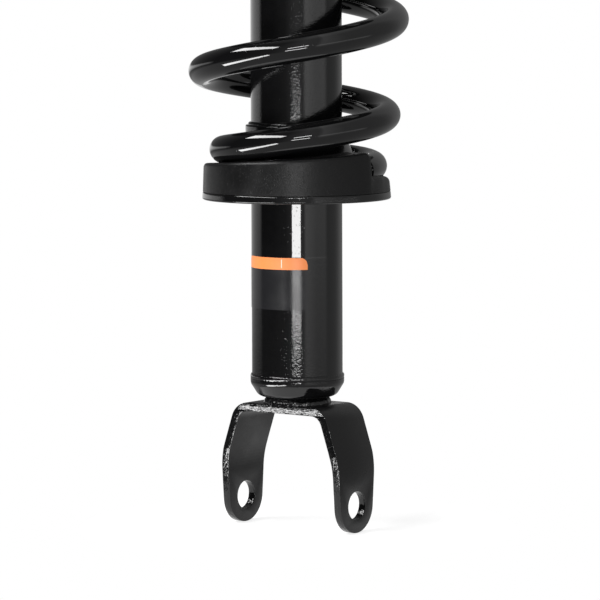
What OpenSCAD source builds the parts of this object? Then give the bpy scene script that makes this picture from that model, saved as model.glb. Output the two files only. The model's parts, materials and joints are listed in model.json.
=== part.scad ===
// Loaded coil-over strut for the front axle of a light truck: a twin-tube damper on a
// forked bracket, with its coil spring, rubber insulators, bump stop and upper mount.
// Millimetres. The origin is the middle of the fork bolt's axis, X runs along the bolt,
// and Z runs up the strut. The strut stands at full droop, held by its rebound stop.

/* [Fork] */
// Clear width between the two ears
fork_gap = 77; // [70:0.5:84]
// Thickness of the bent strap
strap_t = 5; // [4:0.5:6]
// Radius of the round end of each ear
ear_r = 16.25; // [15:0.25:18]
// Half width of the strap above the knees
strap_half_w = 18.5; // [18.25:0.25:21]
// Radius of the hole for the fork bolt
fork_hole_r = 8.5; // [7:0.25:9]
// Height of each knee above the bolt
knee_z = 25; // [22:0.5:27]
// Radius of the gentle bend at each knee
knee_bend_r = 50; // [30:1:55]
// Lean of the strap between knee and shoulder, in degrees
strap_lean = 18.5; // [14:0.5:22]
// Radius of the tight bend at each shoulder
shoulder_bend_r = 10; // [8:0.5:12]
// Height of the strap's top face above the bolt
fork_top_z = 58.5; // [55:0.5:62]
// Leg of the fillet weld between boss and strap
fork_weld_leg = 2; // [1.5:0.5:3]

/* [Damper tube] */
// Outside diameter of the reserve tube
tube_od = 54; // [52:0.5:56]
// Wall of the reserve tube
tube_wall = 2.5; // [2:0.1:3]
// Length of the reserve tube
tube_len = 278; // [270:1:290]
// Radius of the boss under the base cup
boss_r = 17.4; // [17:0.1:20]
// Height of that boss above the strap
boss_h = 4.5; // [3:0.5:6]
// Radius of the rounded shoulder of the base cup
cup_round_r = 11; // [9:0.5:12]
// How far the base cup's spigot reaches into the tube
cup_spigot_h = 6; // [4:0.5:9]
// Gap between the base valve and the wall of the base cup
cup_bowl_play = 1.4; // [0.8:0.1:3]
// How far the weld beads on the tube stand proud
bead_h = 0.8; // [0.5:0.1:1.5]
// Height of the weld bead round the tube's foot
bead_len = 3.4; // [2.5:0.1:5]
// Thickness of the lip that is rolled in over the seal
crimp_t = 2.5; // [2:0.1:3]
// Radius of the opening inside that lip
crimp_hole_r = 18; // [16:0.5:20]

/* [Lower spring seat] */
// Height of the seat's face above the fork bolt
seat_z = 184.6; // [175:0.2:190]
// How far the seat's rim stands out past the insulator
seat_margin = 0.5; // [0.3:0.1:4]
// Height of the rim that is turned down at the seat's edge
rim_h = 4.7; // [4:0.1:6]
// Rounding of the rim's corners
rim_r = 1.1; // [0.8:0.1:1.5]
// Thickness of the seat's steel
seat_t = 3.2; // [2.5:0.1:3.6]
// How far the crown's foot reaches out under the inside of the wire
crown_reach = 1.1; // [0:0.1:1.5]
// Height of the collar's top above the seat's face
crown_h = 39.5; // [34:0.5:42]
// Length of the collar that grips the tube
collar_len = 13; // [8:0.5:16]
// Radius of the fillet between face and crown
crown_fillet_r = 3; // [2:0.5:4]

/* [Lower insulator] */
// How far the insulator reaches out past the wire's tip
pad_lip = 0.9; // [0.5:0.1:3]
// How much the outside leans in by the top
pad_draft = 0.5; // [0.2:0.1:1.5]
// Play between the insulator's bore and the crown's foot
pad_bore_play = 0.9; // [0.3:0.1:2]
// Height of the ramp's low end above the seat
pad_low_h = 4.9; // [4.6:0.1:7]
// Rise of the ramp in one turn
ramp_rise = 19; // [17:0.2:20]
// Radius of the rounded outer edge of the ramp
pad_edge_r = 2.4; // [0.5:0.1:2.6]
// Radius of the rounded inner edge of the ramp
pad_bore_edge_r = 1.5; // [0.5:0.1:2]
// Arc of the step that the wire's end meets, in degrees
pad_step_arc = 1; // [1:0.5:3]
// Radius of the fillet at the foot of the step, on the outside
step_foot_r = 7; // [3:0.5:8]
// Radius of the rounded crest of the step
step_crest_r = 3; // [1:0.5:4]
// Height of the lips beside the wire
lip_h = 0.3; // [0.2:0.1:0.6]
// Height of the outer lip beside the wire's tip
tip_lip_h = 5.4; // [3:0.2:5.4]
// Arc over which that lip sinks to the others, in degrees
tip_lip_arc = 50; // [30:5:80]
// How much wider the groove under the wire is than the wire, on the radius
groove_play = 1; // [0.8:0.1:2]

/* [Coil spring] */
// Diameter of the spring wire
wire_d = 16.5; // [14:0.25:17]
// Number of turns from tip to tip
spring_turns = 5.75; // [5.5:0.05:6]
// Mean radius at the lower tip
coil_tip_r = 46.4; // [45:0.1:47]
// Mean radius where the first turn is tightest
coil_small_r = 43.1; // [42.5:0.1:44]
// Mean radius of the full coils
coil_full_r = 58.4; // [55:0.1:58.8]
// Rise in each turn where the wire opens from the seat
rise_mid = 46.5; // [40:0.5:52]
// Rise in each turn of the full coils
rise_full = 66; // [60:1:68]
// Angle between the step and the wire's tip, in degrees
tip_gap_arc = 1; // [1:0.5:4]

/* [Damper inside] */
// Bore of the pressure tube
bore_d = 35; // [34:0.5:36]
// Wall of the pressure tube
pressure_wall = 1.6; // [1.2:0.1:2]
// Diameter of the piston rod
rod_d = 22; // [20:0.5:22]
// Running clearance of the rod in its bush and seal, on the radius
rod_clearance = 0.05; // [0.03:0.01:0.08]
// Running clearance of the piston's band in the bore, on the radius
band_clearance = 0.05; // [0.03:0.01:0.08]
// Diameter of the rod's tail through the piston
tail_d = 12; // [10:0.5:12]
// Height of the piston
piston_h = 18; // [14:0.5:22]
// Height of the band round the piston
band_h = 10; // [6:0.5:11]
// Thickness of the band round the piston
band_t = 0.6; // [0.4:0.1:0.8]
// Number of ports through the piston
piston_ports = 8; // [6:1:9]
// Thickness of each stack of valve shims
shim_t = 2; // [1:0.25:2.5]
// Height of the piston nut
piston_nut_h = 10; // [8:0.5:12]
// Gap between the rod's shoulder and the rebound stop
rebound_gap = 11.7; // [8:0.1:16]
// Height of the rebound stop's ring
stop_ring_h = 6; // [4:0.5:8]
// Height of the rebound stop's rubber pad
stop_pad_h = 6; // [4:0.5:8]
// Play between that pad and the rod guide at full droop
droop_play = 0.3; // [0.2:0.1:0.5]
// Height of the rod guide's flange
guide_h = 12; // [10:0.5:14]
// Length of the rod guide's spigot in the pressure tube
guide_spigot = 12; // [8:0.5:14]
// Wall of the rod guide's lined bush
bush_wall = 1.5; // [1:0.1:2]
// Height of the oil seal
seal_h = 7.5; // [6:0.5:9]
// Height of the base valve's feet
valve_foot_h = 6; // [5:0.5:8]
// Thickness of the base valve's flange
valve_flange_t = 4; // [3:0.5:5]
// Number of ports through the base valve
valve_ports = 6; // [5:1:7]

/* [Bump stop and boot] */
// Thickness of the strike cap's steel
cap_t = 1.6; // [1.2:0.1:2]
// Length of the strike cap's skirt
cap_skirt = 15; // [10:1:20]
// Free length of the jounce bumper
bumper_len = 64; // [50:1:66]
// Outside radius of the bumper's widest ring
bumper_r = 23.5; // [21:0.5:24]
// Outside radius of the bumper cup
bump_cup_r = 27; // [26:0.5:28]
// Play between the bumper's head and the cup's wall
bump_cup_play = 1.5; // [0.5:0.1:2.5]
// Depth of the bumper cup
bump_cup_h = 18; // [14:0.5:22]
// Thickness of the bumper cup's wall
bump_cup_t = 2; // [1.5:0.1:2.5]
// Outside radius of the boot's folds
boot_r = 37; // [35:0.5:39]
// Depth of each fold
fold_depth = 5; // [4:0.5:6]
// Number of folds
folds = 13; // [10:1:15]
// Wall of the boot
boot_wall = 1.2; // [1:0.1:1.5]
// Height of each collar of the boot
boot_collar_h = 12; // [10:1:14]

/* [Upper mount] */
// Least thickness of the upper insulator
top_pad_web = 4.3; // [3:0.1:7]
// How far the upper insulator reaches out past the wire
top_pad_lip = 2.3; // [1:0.1:4]
// How far the upper insulator's bore lies outside the inside of the wire
top_pad_inset = 0.3; // [0:0.1:2]
// Thickness of the upper spring seat's steel
top_seat_t = 3; // [2.5:0.1:3.5]
// Play between the upper insulator and the seat's rim
top_seat_play = 1.5; // [0.5:0.1:3]
// Depth of the rim that turns down round the insulator
top_rim_h = 10; // [8:0.5:14]
// Outside radius of the raised middle at its foot
riser_r = 50; // [49:0.5:50.5]
// Play between the raised middle's neck and the studs' heads
riser_play = 4; // [3.5:0.1:6]
// Height of the raised middle
riser_h = 18; // [16:0.5:22]
// Thickness of the mount plate
plate_t = 4; // [3:0.5:5]
// Radius of the circle through the studs
stud_circle_r = 58; // [57:0.5:61]
// Radius of the plate round each stud
lobe_r = 15; // [13:0.5:16]
// Diameter of the studs
stud_d = 10; // [8:0.5:10]
// How much thicker the knurl in the plate is than the stud, on the radius
stud_knurl = 0.6; // [0.3:0.1:1]
// Length of the studs above the plate
stud_len = 30; // [22:1:36]
// Thickness of the studs' heads
stud_head_h = 2.5; // [2:0.25:3]
// Outside radius of the hat over the rubber bush
hat_r = 34; // [33:0.5:36]
// Height of the hat above the mounting face
hat_h = 8; // [6:0.5:10]
// Radius of the opening in the hat
hat_hole_r = 19; // [18:0.5:20]
// Radius of the hat's rounded shoulder
hat_edge_r = 3; // [1:0.5:3]
// Radius of the fillet at the hat's foot
hat_foot_r = 2.5; // [1:0.5:2.5]
// Length of the bush's inner sleeve
sleeve_len = 40; // [38.5:0.5:44]
// Wall of that sleeve
sleeve_wall = 3.4; // [3:0.1:4]
// Diameter of the rod's threaded end
thread_d = 14; // [12:0.5:14]
// Thickness of the retainers under and over the bush
retainer_t = 3.5; // [3:0.25:4]
// Radius of the retainers
retainer_r = 24; // [23:0.5:26]
// Rounding of the retainers' rims
retainer_edge_r = 1.1; // [0.5:0.1:1.4]
// Height of the rod nut
rod_nut_h = 12.5; // [11:0.5:14]
// Width of the rod nut across its flats
rod_nut_af = 22; // [19:0.5:24]
// How far the rod's thread stands out of its nut
thread_out = 5; // [3:0.5:10]
// Width of the socket in the rod's end across its flats
rod_socket_af = 6; // [5:0.5:7]
// Depth of that socket
rod_socket_h = 7; // [5:0.5:9]

/* [Hidden] */
$fn = 96;

// Colours
paint = [0.05, 0.05, 0.055];
satin_black = [0.11, 0.11, 0.12];
rubber = [0.15, 0.15, 0.16];
bright_steel = [0.75, 0.76, 0.78];
zinc = [0.72, 0.70, 0.62];
sinter = [0.45, 0.45, 0.47];
foam = [0.80, 0.72, 0.45];

eps = 0.01;
turn = 360;

// Tube and base cup, worked up from the fork
tube_r = tube_od / 2;
tube_bore_r = tube_r - tube_wall;
cup_round_z = fork_top_z + boss_h + cup_round_r - 0.5;
tube_z = cup_round_z - 0.5;
tube_top_z = tube_z + tube_len;
cup_floor_z = tube_z - 2;

// Damper inside, worked up from the cup and down from the tube's top
bore_r = bore_d / 2;
pressure_r = bore_r + pressure_wall;
cup_bowl_r = pressure_r + cup_bowl_play;
valve_flange_z = cup_floor_z + valve_foot_h;
pressure_z = valve_flange_z + valve_flange_t;
valve_r = bore_r - 0.1;
valve_spigot_h = 4;
valve_bolt_r = 3;
seal_z = tube_top_z - crimp_t - seal_h;
guide_z = seal_z - guide_h;
guide_foot_z = guide_z - guide_spigot;
rod_r = rod_d / 2;
bush_bore_r = rod_r + rod_clearance;
bush_r = bush_bore_r + bush_wall;
tail_r = tail_d / 2;
stop_pad_z = guide_foot_z - droop_play - stop_pad_h;
stop_ring_z = stop_pad_z - stop_ring_h;
rod_foot_z = stop_ring_z - rebound_gap;
piston_z = rod_foot_z - shim_t - piston_h;
piston_nut_z = piston_z - shim_t - piston_nut_h;
tail_z = piston_nut_z - 3;
band_r = bore_r - band_clearance;
piston_r = band_r - 0.15;

// Coil spring, worked up from the lower insulator
wire_r = wire_d / 2;
pad_r = coil_tip_r + wire_r + pad_lip;
seat_r = pad_r + seat_margin;
crown_r = min(coil_tip_r, coil_small_r) - wire_r + crown_reach;
pad_bore_r = crown_r + pad_bore_play;
pad_foot = crown_fillet_r - pad_bore_play + 0.2;
pad_z = seat_z + pad_low_h;
wire_z = pad_z + wire_r;
coil_rings = 28;
coil_sides = 10;
rings = round(spring_turns * coil_rings);
ring_arc = (spring_turns * turn - tip_gap_arc) / rings;
rise_by_turn = [
    [0, ramp_rise], [0.62, ramp_rise], [0.82, rise_mid], [1.1, rise_mid + 0.5],
    [2.1, rise_full], [spring_turns - 0.85, rise_full],
    [spring_turns - 0.6, ramp_rise], [spring_turns, ramp_rise],
];
radius_by_turn = [
    [0, coil_tip_r], [0.3, coil_small_r], [0.6, coil_small_r],
    [1.1, coil_full_r - 5], [1.6, coil_full_r - 3], [2.1, coil_full_r],
    [spring_turns, coil_full_r],
];
function ring_angle(i) = tip_gap_arc + i * ring_arc;
function ring_slope(i) = lookup(ring_angle(i) / turn, rise_by_turn);
function ring_radius(i) = lookup(ring_angle(i) / turn, radius_by_turn);
wire_heights = [
    for (
        i = 0, z = wire_z + ramp_rise * tip_gap_arc / turn;
        i <= rings;
        z = z + ring_slope(i + 0.5) * ring_arc / turn, i = i + 1
    ) z
];
function ring_centre(i) = [
    ring_radius(i) * cos(ring_angle(i)),
    ring_radius(i) * sin(ring_angle(i)),
    wire_heights[i],
];
wire_path = [for (i = [0:rings]) ring_centre(i)];
wire_top_z = wire_heights[rings];
half_turn = round(coil_rings / 2);
wire_gap = min([
    for (i = [0:rings - half_turn])
        for (j = [i + half_turn:rings])
            norm(wire_path[i] - wire_path[j]) - wire_d
]);
echo(str("least gap between the spring's turns, mm: ", wire_gap));

// Upper mount, worked up from the spring
top_pad_r = coil_full_r + wire_r + top_pad_lip;
top_pad_bore_r = coil_full_r - wire_r + top_pad_inset;
top_seat_r = top_pad_r + top_seat_play + top_seat_t;
pad_play = 0.3;
top_face_z = wire_top_z + wire_r + ramp_rise * tip_gap_arc / turn + pad_play + top_pad_web;
top_step_angle = spring_turns * turn + tip_gap_arc;
riser_z = top_face_z + riser_h;
plate_z = riser_z + top_seat_t;
mount_face_z = plate_z + plate_t;
hat_bore_r = hat_r - plate_t;
hat_top_z = mount_face_z + hat_h;
thread_r = thread_d / 2;
sleeve_z = top_face_z;
sleeve_r = thread_r + sleeve_wall + 0.1;
sleeve_top_z = sleeve_z + sleeve_len;
rod_shoulder_z = sleeve_z - retainer_t - bump_cup_t;
rod_top_z = sleeve_top_z + retainer_t + rod_nut_h + thread_out;
stud_r = stud_d / 2;
stud_head_r = stud_r * 1.6;
knurl_r = stud_r + stud_knurl;
riser_neck_r = stud_circle_r - stud_head_r - riser_play;

// Bump stop and boot
cap_top_z = tube_top_z + cap_t;
cap_r = tube_r + cap_t;
cap_hole_r = rod_r + 2;
bumper_z = rod_shoulder_z - bumper_len;
bumper_bore_r = rod_r + 0.6;
bumper_head_r = bump_cup_r - bump_cup_t - bump_cup_play;
boot_z = tube_top_z - boot_collar_h;
boot_top_z = rod_shoulder_z - 1;
boot_low_z = boot_z + boot_collar_h;
boot_high_z = boot_top_z - boot_collar_h;
boot_play = 0.3;

// Points along an arc, one every few degrees
arc_step = 9;
function arc_pts(centre, r, from, to) =
    let (steps = max(2, ceil(abs(to - from) / arc_step)))
    [
        for (i = [0:steps])
            let (a = from + (to - from) * i / steps)
            centre + r * [cos(a), sin(a)]
    ];

module ring(r_out, r_in, h) {
    difference() {
        cylinder(r = r_out, h = h);
        translate([0, 0, -eps]) cylinder(r = r_in, h = h + 2 * eps);
    }
}

module around(count, start = 0) {
    for (i = [0:count - 1]) rotate(start + i * turn / count) children();
}

// Skin of a closed or open row of sections that all have the same number of points
function row_faces(rows, sides, closed) = [
    for (i = [0:rows - (closed ? 1 : 2)])
        for (j = [0:sides - 1])
            let (
                a = i * sides + j,
                b = i * sides + (j + 1) % sides,
                c = ((i + 1) % rows) * sides + (j + 1) % sides,
                d = ((i + 1) % rows) * sides + j
            )
            each [[a, c, b], [a, d, c]]
];

/* Fork */

shoulder_turn = 90 - strap_lean;
ear_x = (fork_gap + strap_t) / 2;
strap_mid_z = fork_top_z - strap_t / 2;
shoulder_x = ear_x - (strap_mid_z - knee_z) * tan(strap_lean);
shoulder_c = [
    shoulder_x - shoulder_bend_r * tan(shoulder_turn / 2),
    strap_mid_z - shoulder_bend_r,
];
knee_c = [ear_x - knee_bend_r, knee_z - knee_bend_r * tan(strap_lean / 2)];
strap_foot = [ear_x, -ear_r - strap_t];

// One face of the bent strap, offset from its middle line, from the middle to the right foot
function strap_side(offset) = concat(
    arc_pts(shoulder_c, shoulder_bend_r + offset, 90, strap_lean),
    arc_pts(knee_c, knee_bend_r + offset, strap_lean, 0),
    [strap_foot + [offset, 0]]
);
function reversed(points) = [for (i = [len(points) - 1:-1:0]) points[i]];
function mirrored(points) = [for (p = points) [-p[0], p[1]]];

module strap_edge() {
    outer = strap_side(strap_t / 2);
    inner = strap_side(-strap_t / 2);
    polygon(concat(outer, reversed(inner), mirrored(inner), reversed(mirrored(outer))));
}

// The strap seen along the bolt: round ears that widen to the knee, in lines tangent to them
ear_corner = [strap_half_w, knee_z + strap_t];
ear_tangent = atan2(ear_corner[1], ear_corner[0]) - acos(ear_r / norm(ear_corner));
strap_head_z = fork_top_z + strap_t;
module strap_face() {
    polygon(concat(
        arc_pts([0, 0], ear_r, 180 - ear_tangent, 360 + ear_tangent),
        [
            ear_corner, [strap_half_w, strap_head_z],
            [-strap_half_w, strap_head_z], [-ear_corner[0], ear_corner[1]],
        ]
    ));
}

module fork_bracket() {
    wide = 2 * strap_half_w + 2;
    long = fork_gap + 6 * strap_t;
    color(satin_black) difference() {
        intersection() {
            rotate([90, 0, 0]) translate([0, 0, -wide / 2]) linear_extrude(wide) strap_edge();
            rotate([90, 0, 90]) translate([0, 0, -long / 2]) linear_extrude(long)
                strap_face();
        }
        rotate([0, 90, 0]) translate([0, 0, -long / 2]) cylinder(r = fork_hole_r, h = long);
    }
}

module fork_weld() {
    color(paint) translate([0, 0, fork_top_z]) rotate_extrude()
        polygon(concat([[boss_r, 0]], arc_pts([boss_r, 0], fork_weld_leg, 0, 90)));
}

/* Damper tube */

module base_cup() {
    round_x = tube_r - cup_round_r - 0.5;
    low_angle = -acos((boss_r - round_x) / cup_round_r);
    color(paint) rotate_extrude() polygon(concat(
        [[0, fork_top_z], [boss_r, fork_top_z]],
        arc_pts([round_x, cup_round_z], cup_round_r, low_angle, -asin(0.5 / cup_round_r)),
        [
            [tube_bore_r, tube_z], [tube_bore_r, tube_z + cup_spigot_h],
            [cup_bowl_r, tube_z + cup_spigot_h], [cup_bowl_r, cup_floor_z],
            [0, cup_floor_z],
        ]
    ));
}

// A shallow round bead on the outside of the tube
module bead(z, h) {
    bulge_r = (h * h / 4 + bead_h * bead_h) / (2 * bead_h);
    half = asin(h / 2 / bulge_r);
    translate([0, 0, z + h / 2]) rotate_extrude()
        polygon(arc_pts([tube_r + bead_h - bulge_r, 0], bulge_r, -half, half));
}

module base_weld() {
    color(paint) bead(tube_z - eps, bead_len);
}

module reserve_tube() {
    lip_round = tube_wall;
    color(paint) rotate_extrude() polygon(concat(
        [[tube_bore_r, tube_z], [tube_r, tube_z]],
        arc_pts([tube_r - lip_round, tube_top_z - lip_round], lip_round, 0, 90),
        [
            [crimp_hole_r, tube_top_z], [crimp_hole_r, tube_top_z - crimp_t],
            [tube_bore_r, tube_top_z - crimp_t],
        ]
    ));
}

/* Lower spring seat and insulator */

collar_r = tube_r + seat_t;
collar_z = seat_z + crown_h - collar_len;

module lower_spring_seat() {
    rim_x = seat_r - rim_r;
    rim_foot_z = seat_z - rim_h;
    fillet = crown_fillet_r;
    under_r = crown_r - seat_t * 0.9;
    color(paint) rotate_extrude() polygon(concat(
        [[seat_r - seat_t, seat_z - seat_t], [seat_r - seat_t, rim_foot_z]],
        arc_pts([rim_x, rim_foot_z + rim_r], rim_r, -90, 0),
        arc_pts([rim_x, seat_z - rim_r], rim_r, 0, 90),
        [[crown_r + fillet, seat_z]],
        arc_pts([crown_r + fillet, seat_z + fillet], fillet, -90, -172),
        [[collar_r, collar_z]],
        arc_pts([tube_r + seat_t / 2, seat_z + crown_h - seat_t / 2], seat_t / 2, 0, 90),
        [
            [tube_r, seat_z + crown_h], [tube_r, collar_z - seat_t / 2],
            [under_r, seat_z + fillet / 2], [under_r + fillet, seat_z - seat_t],
        ]
    ));
}

module seat_weld() {
    leg = seat_t / 2;
    color(paint) translate([0, 0, seat_z + crown_h]) rotate_extrude()
        polygon(concat([[tube_r, 0]], arc_pts([tube_r, 0], leg, 0, 90)));
}

// One section of a ramped pad: a chamfered foot at height 0, an outer edge that rounds over
// from a height on the side to the outer lip, the groove under the wire, and the inner edge
groove_r = wire_r + groove_play;
function lip_arc(lip) = acos(1 - lip / groove_r);
function pad_section(r_out, r_in, foot, side, top, coil_r, lip) =
    let (
        face_r = r_out - pad_draft,
        edge_r = max(face_r - pad_edge_r, coil_r + groove_r * sin(lip_arc(lip)) + 0.15),
        side_z = min(side, top + lip - 0.1),
        bevel = [edge_r - face_r, top + lip - side_z],
        in = pad_bore_edge_r,
        groove = concat([1, 2 / 3, 1 / 3, 0] * lip_arc(lip), [-lip_arc(lip_h)])
    )
    concat(
        [
            [r_in + foot, 0], [r_out, 0], [face_r, side_z],
            [face_r + 0.3 * bevel[0], side_z + 0.7 * bevel[1]], [edge_r, top + lip],
        ],
        [for (a = groove) [coil_r + groove_r * sin(a), top + groove_r * (1 - cos(a))]],
        [
            for (a = [90, 180])
                [r_in + in + in * cos(a), top + lip_h - in + in * sin(a)]
        ],
        [[r_in, foot]]
    );

// How far a quarter round of radius r still has to go at a distance s from its start
function quarter(r, s) = r - sqrt(r * r - pow(max(0, r - s), 2));

// A ring whose top climbs once round and drops at a step. The step is rounded over its crest
// and, on the outside, into its foot. The ramp starts at angle 0, a little past the step.
pad_rows = 60;
step_at = -0.5;
module ramped_pad(r_out, r_in, foot, low, coil_by_turn, tip_lip) {
    degree = PI * r_out / 180;
    first = step_at + step_foot_r / degree;
    crest = step_at + turn - pad_step_arc;
    last = crest - step_crest_r / degree;
    rounding = [for (t = [0:18:72]) 1 - cos(t)];
    angles = concat(
        [for (k = rounding) step_at + k * (first - step_at)],
        [for (i = [0:pad_rows]) first + (last - first) * i / pad_rows],
        [for (k = reversed(rounding)) crest - k * (crest - last)]
    );
    rows = [
        for (a = angles)
            let (
                top = low + ramp_rise * a / turn - quarter(step_crest_r, (crest - a) * degree),
                lip = lip_h + (tip_lip - lip_h) * max(0, 1 - a / tip_lip_arc),
                lift = quarter(step_foot_r, (a - step_at) * degree),
                side = top + lip_h - pad_edge_r + (lip - lip_h) / 3 + lift,
                coil_r = lookup(a / turn, coil_by_turn)
            )
            for (p = pad_section(r_out, r_in, foot, side, top, coil_r, lip))
                [p[0] * cos(a), p[0] * sin(a), p[1]]
    ];
    sides = len(rows) / len(angles);
    polyhedron(rows, row_faces(len(angles), sides, true), convexity = 8);
}

module lower_insulator() {
    seated = [for (point = radius_by_turn) if (point[0] <= 0.6) point];
    color(rubber) translate([0, 0, seat_z])
        ramped_pad(pad_r, pad_bore_r, pad_foot, pad_low_h, seated, tip_lip_h);
}

/* Coil spring */

module coil_spring() {
    points = [
        for (i = [0:rings])
            let (
                a = ring_angle(i),
                lean = atan(ring_slope(i) / (2 * PI * ring_radius(i))),
                out = [cos(a), sin(a), 0],
                up = [sin(a) * sin(lean), -cos(a) * sin(lean), cos(lean)]
            )
            for (j = [0:coil_sides - 1])
                let (t = j * turn / coil_sides + 90)
                wire_path[i] + wire_r * (cos(t) * out + sin(t) * up)
    ];
    last = rings * coil_sides;
    caps = [
        for (j = [1:coil_sides - 2]) each [[0, j, j + 1], [last, last + j + 1, last + j]]
    ];
    color(paint)
        polyhedron(points, concat(row_faces(rings + 1, coil_sides, false), caps), convexity = 12);
}

/* Damper inside */

module pressure_tube() {
    color(bright_steel) translate([0, 0, pressure_z])
        ring(pressure_r, bore_r, guide_z - pressure_z);
}

module base_valve() {
    port_r = 2;
    port_circle = valve_r - port_r - 2.5;
    foot_gap = 7;
    color(sinter) difference() {
        union() {
            translate([0, 0, valve_flange_z]) cylinder(r = pressure_r, h = valve_flange_t);
            translate([0, 0, pressure_z]) cylinder(r = valve_r, h = valve_spigot_h);
            translate([0, 0, cup_floor_z]) ring(pressure_r, pressure_r - 4, valve_foot_h);
        }
        translate([0, 0, cup_floor_z - eps])
            cylinder(r = valve_bolt_r, h = pressure_z + valve_spigot_h - cup_floor_z + 1);
        around(valve_ports) translate([port_circle, 0, cup_floor_z])
            cylinder(r = port_r, h = 2 * valve_foot_h + valve_flange_t + valve_spigot_h);
        around(4) translate([0, -foot_gap / 2, cup_floor_z - eps])
            cube([pressure_r + 1, foot_gap, valve_foot_h - 2]);
    }
}

valve_top_z = pressure_z + valve_spigot_h;
module base_valve_shims() {
    color(bright_steel) translate([0, 0, valve_top_z]) ring(valve_r - 2, valve_bolt_r, shim_t / 2);
}

module base_valve_bolt() {
    head_z = valve_top_z + shim_t / 2;
    color(zinc) {
        translate([0, 0, valve_flange_z]) cylinder(r = valve_bolt_r, h = head_z - valve_flange_z);
        translate([0, 0, head_z]) cylinder(r = 2 * valve_bolt_r, h = 4, $fn = 6);
    }
}

module rod_guide() {
    color(sinter) difference() {
        union() {
            translate([0, 0, guide_z]) cylinder(r = tube_bore_r, h = guide_h);
            translate([0, 0, guide_foot_z]) cylinder(r = bore_r, h = guide_spigot);
        }
        translate([0, 0, guide_foot_z - eps])
            cylinder(r = bush_r, h = guide_h + guide_spigot + 2 * eps);
    }
}

module guide_bush() {
    color(zinc) translate([0, 0, guide_foot_z + 2])
        ring(bush_r, bush_bore_r, guide_h + guide_spigot - 4);
}

module oil_seal() {
    lip_h = 2.5;
    color(rubber) rotate_extrude() polygon([
        [bush_bore_r, seal_z], [tube_bore_r, seal_z], [tube_bore_r, seal_z + seal_h],
        [bush_bore_r + lip_h, seal_z + seal_h], [bush_bore_r, seal_z + seal_h - lip_h],
    ]);
}

module piston_rod() {
    chamfer = 1;
    color(bright_steel) difference() {
        rotate_extrude() polygon([
            [0, tail_z], [tail_r - chamfer, tail_z], [tail_r, tail_z + chamfer],
            [tail_r, rod_foot_z], [rod_r, rod_foot_z],
            [rod_r, rod_shoulder_z], [thread_r, rod_shoulder_z],
            [thread_r, rod_top_z - chamfer], [thread_r - chamfer, rod_top_z], [0, rod_top_z],
        ]);
        translate([0, 0, rod_top_z - rod_socket_h])
            cylinder(r = rod_socket_af / 2 / cos(30), h = rod_socket_h + 1, $fn = 6);
    }
}

module rebound_stop() {
    color(bright_steel) translate([0, 0, stop_ring_z]) ring(rod_r + 4, rod_r, stop_ring_h);
}

module rebound_pad() {
    edge = 1.5;
    color(rubber) translate([0, 0, stop_pad_z]) rotate_extrude() polygon([
        [rod_r, 0], [rod_r + 4.5, 0], [rod_r + 4.5, stop_pad_h - edge],
        [rod_r + 4.5 - edge, stop_pad_h], [rod_r, stop_pad_h],
    ]);
}

module piston() {
    port_r = 1.8;
    port_circle = (tail_r + piston_r) / 2;
    groove_z = piston_z + (piston_h - band_h) / 2;
    color(sinter) difference() {
        translate([0, 0, piston_z]) ring(piston_r, tail_r, piston_h);
        translate([0, 0, groove_z]) ring(piston_r + 1, band_r - band_t, band_h);
        around(piston_ports) translate([port_circle, 0, piston_z - 1])
            cylinder(r = port_r, h = piston_h + 2);
    }
}

module piston_band() {
    color(foam) translate([0, 0, piston_z + (piston_h - band_h) / 2])
        ring(band_r, band_r - band_t, band_h);
}

module piston_shims() {
    shim_r = piston_r - 2;
    color(bright_steel) {
        translate([0, 0, piston_z - shim_t]) ring(shim_r, tail_r, shim_t);
        translate([0, 0, piston_z + piston_h]) ring(shim_r, tail_r, shim_t);
    }
}

module piston_nut() {
    color(zinc) translate([0, 0, piston_nut_z]) difference() {
        cylinder(r = tail_d * 0.9, h = piston_nut_h, $fn = 6);
        translate([0, 0, -eps]) cylinder(r = tail_r, h = piston_nut_h + 2 * eps);
    }
}

/* Bump stop and boot */

module strike_cap() {
    color(zinc) rotate_extrude() polygon(concat(
        [[tube_r, tube_top_z - cap_skirt], [cap_r, tube_top_z - cap_skirt]],
        arc_pts([tube_r - cap_t, tube_top_z - cap_t], 2 * cap_t, 0, 90),
        [[cap_hole_r, cap_top_z], [cap_hole_r, tube_top_z], [tube_r - tube_wall, tube_top_z]],
        arc_pts([tube_r - tube_wall, tube_top_z - tube_wall], tube_wall, 90, 0)
    ));
}

module jounce_bumper() {
    head_h = bump_cup_h;
    lobes = 3;
    lobe_h = (bumper_len - head_h) / lobes;
    waist = 3.5;
    color(foam) rotate_extrude() polygon(concat(
        [[bumper_bore_r, bumper_z + bumper_len], [bumper_bore_r, bumper_z]],
        [
            for (k = [0:lobes - 1])
                for (s = [0:4])
                    let (shrink = (lobes - 1 - k) * 1.5)
                    [
                        bumper_r - shrink - waist * (1 - sin(s * 45)),
                        bumper_z + lobe_h * (k + 0.05 + s * 0.225),
                    ]
        ],
        [
            [bumper_head_r, bumper_z + bumper_len - head_h],
            [bumper_head_r, bumper_z + bumper_len],
        ]
    ));
}

module bumper_cup() {
    color(zinc) rotate_extrude() polygon(concat(
        [
            [thread_r, rod_shoulder_z], [bump_cup_r - bump_cup_t, rod_shoulder_z],
            [bump_cup_r - bump_cup_t, rod_shoulder_z - bump_cup_h],
            [bump_cup_r, rod_shoulder_z - bump_cup_h],
        ],
        arc_pts([bump_cup_r - bump_cup_t, rod_shoulder_z], bump_cup_t, 0, 90),
        [[thread_r, rod_shoulder_z + bump_cup_t]]
    ));
}

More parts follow.
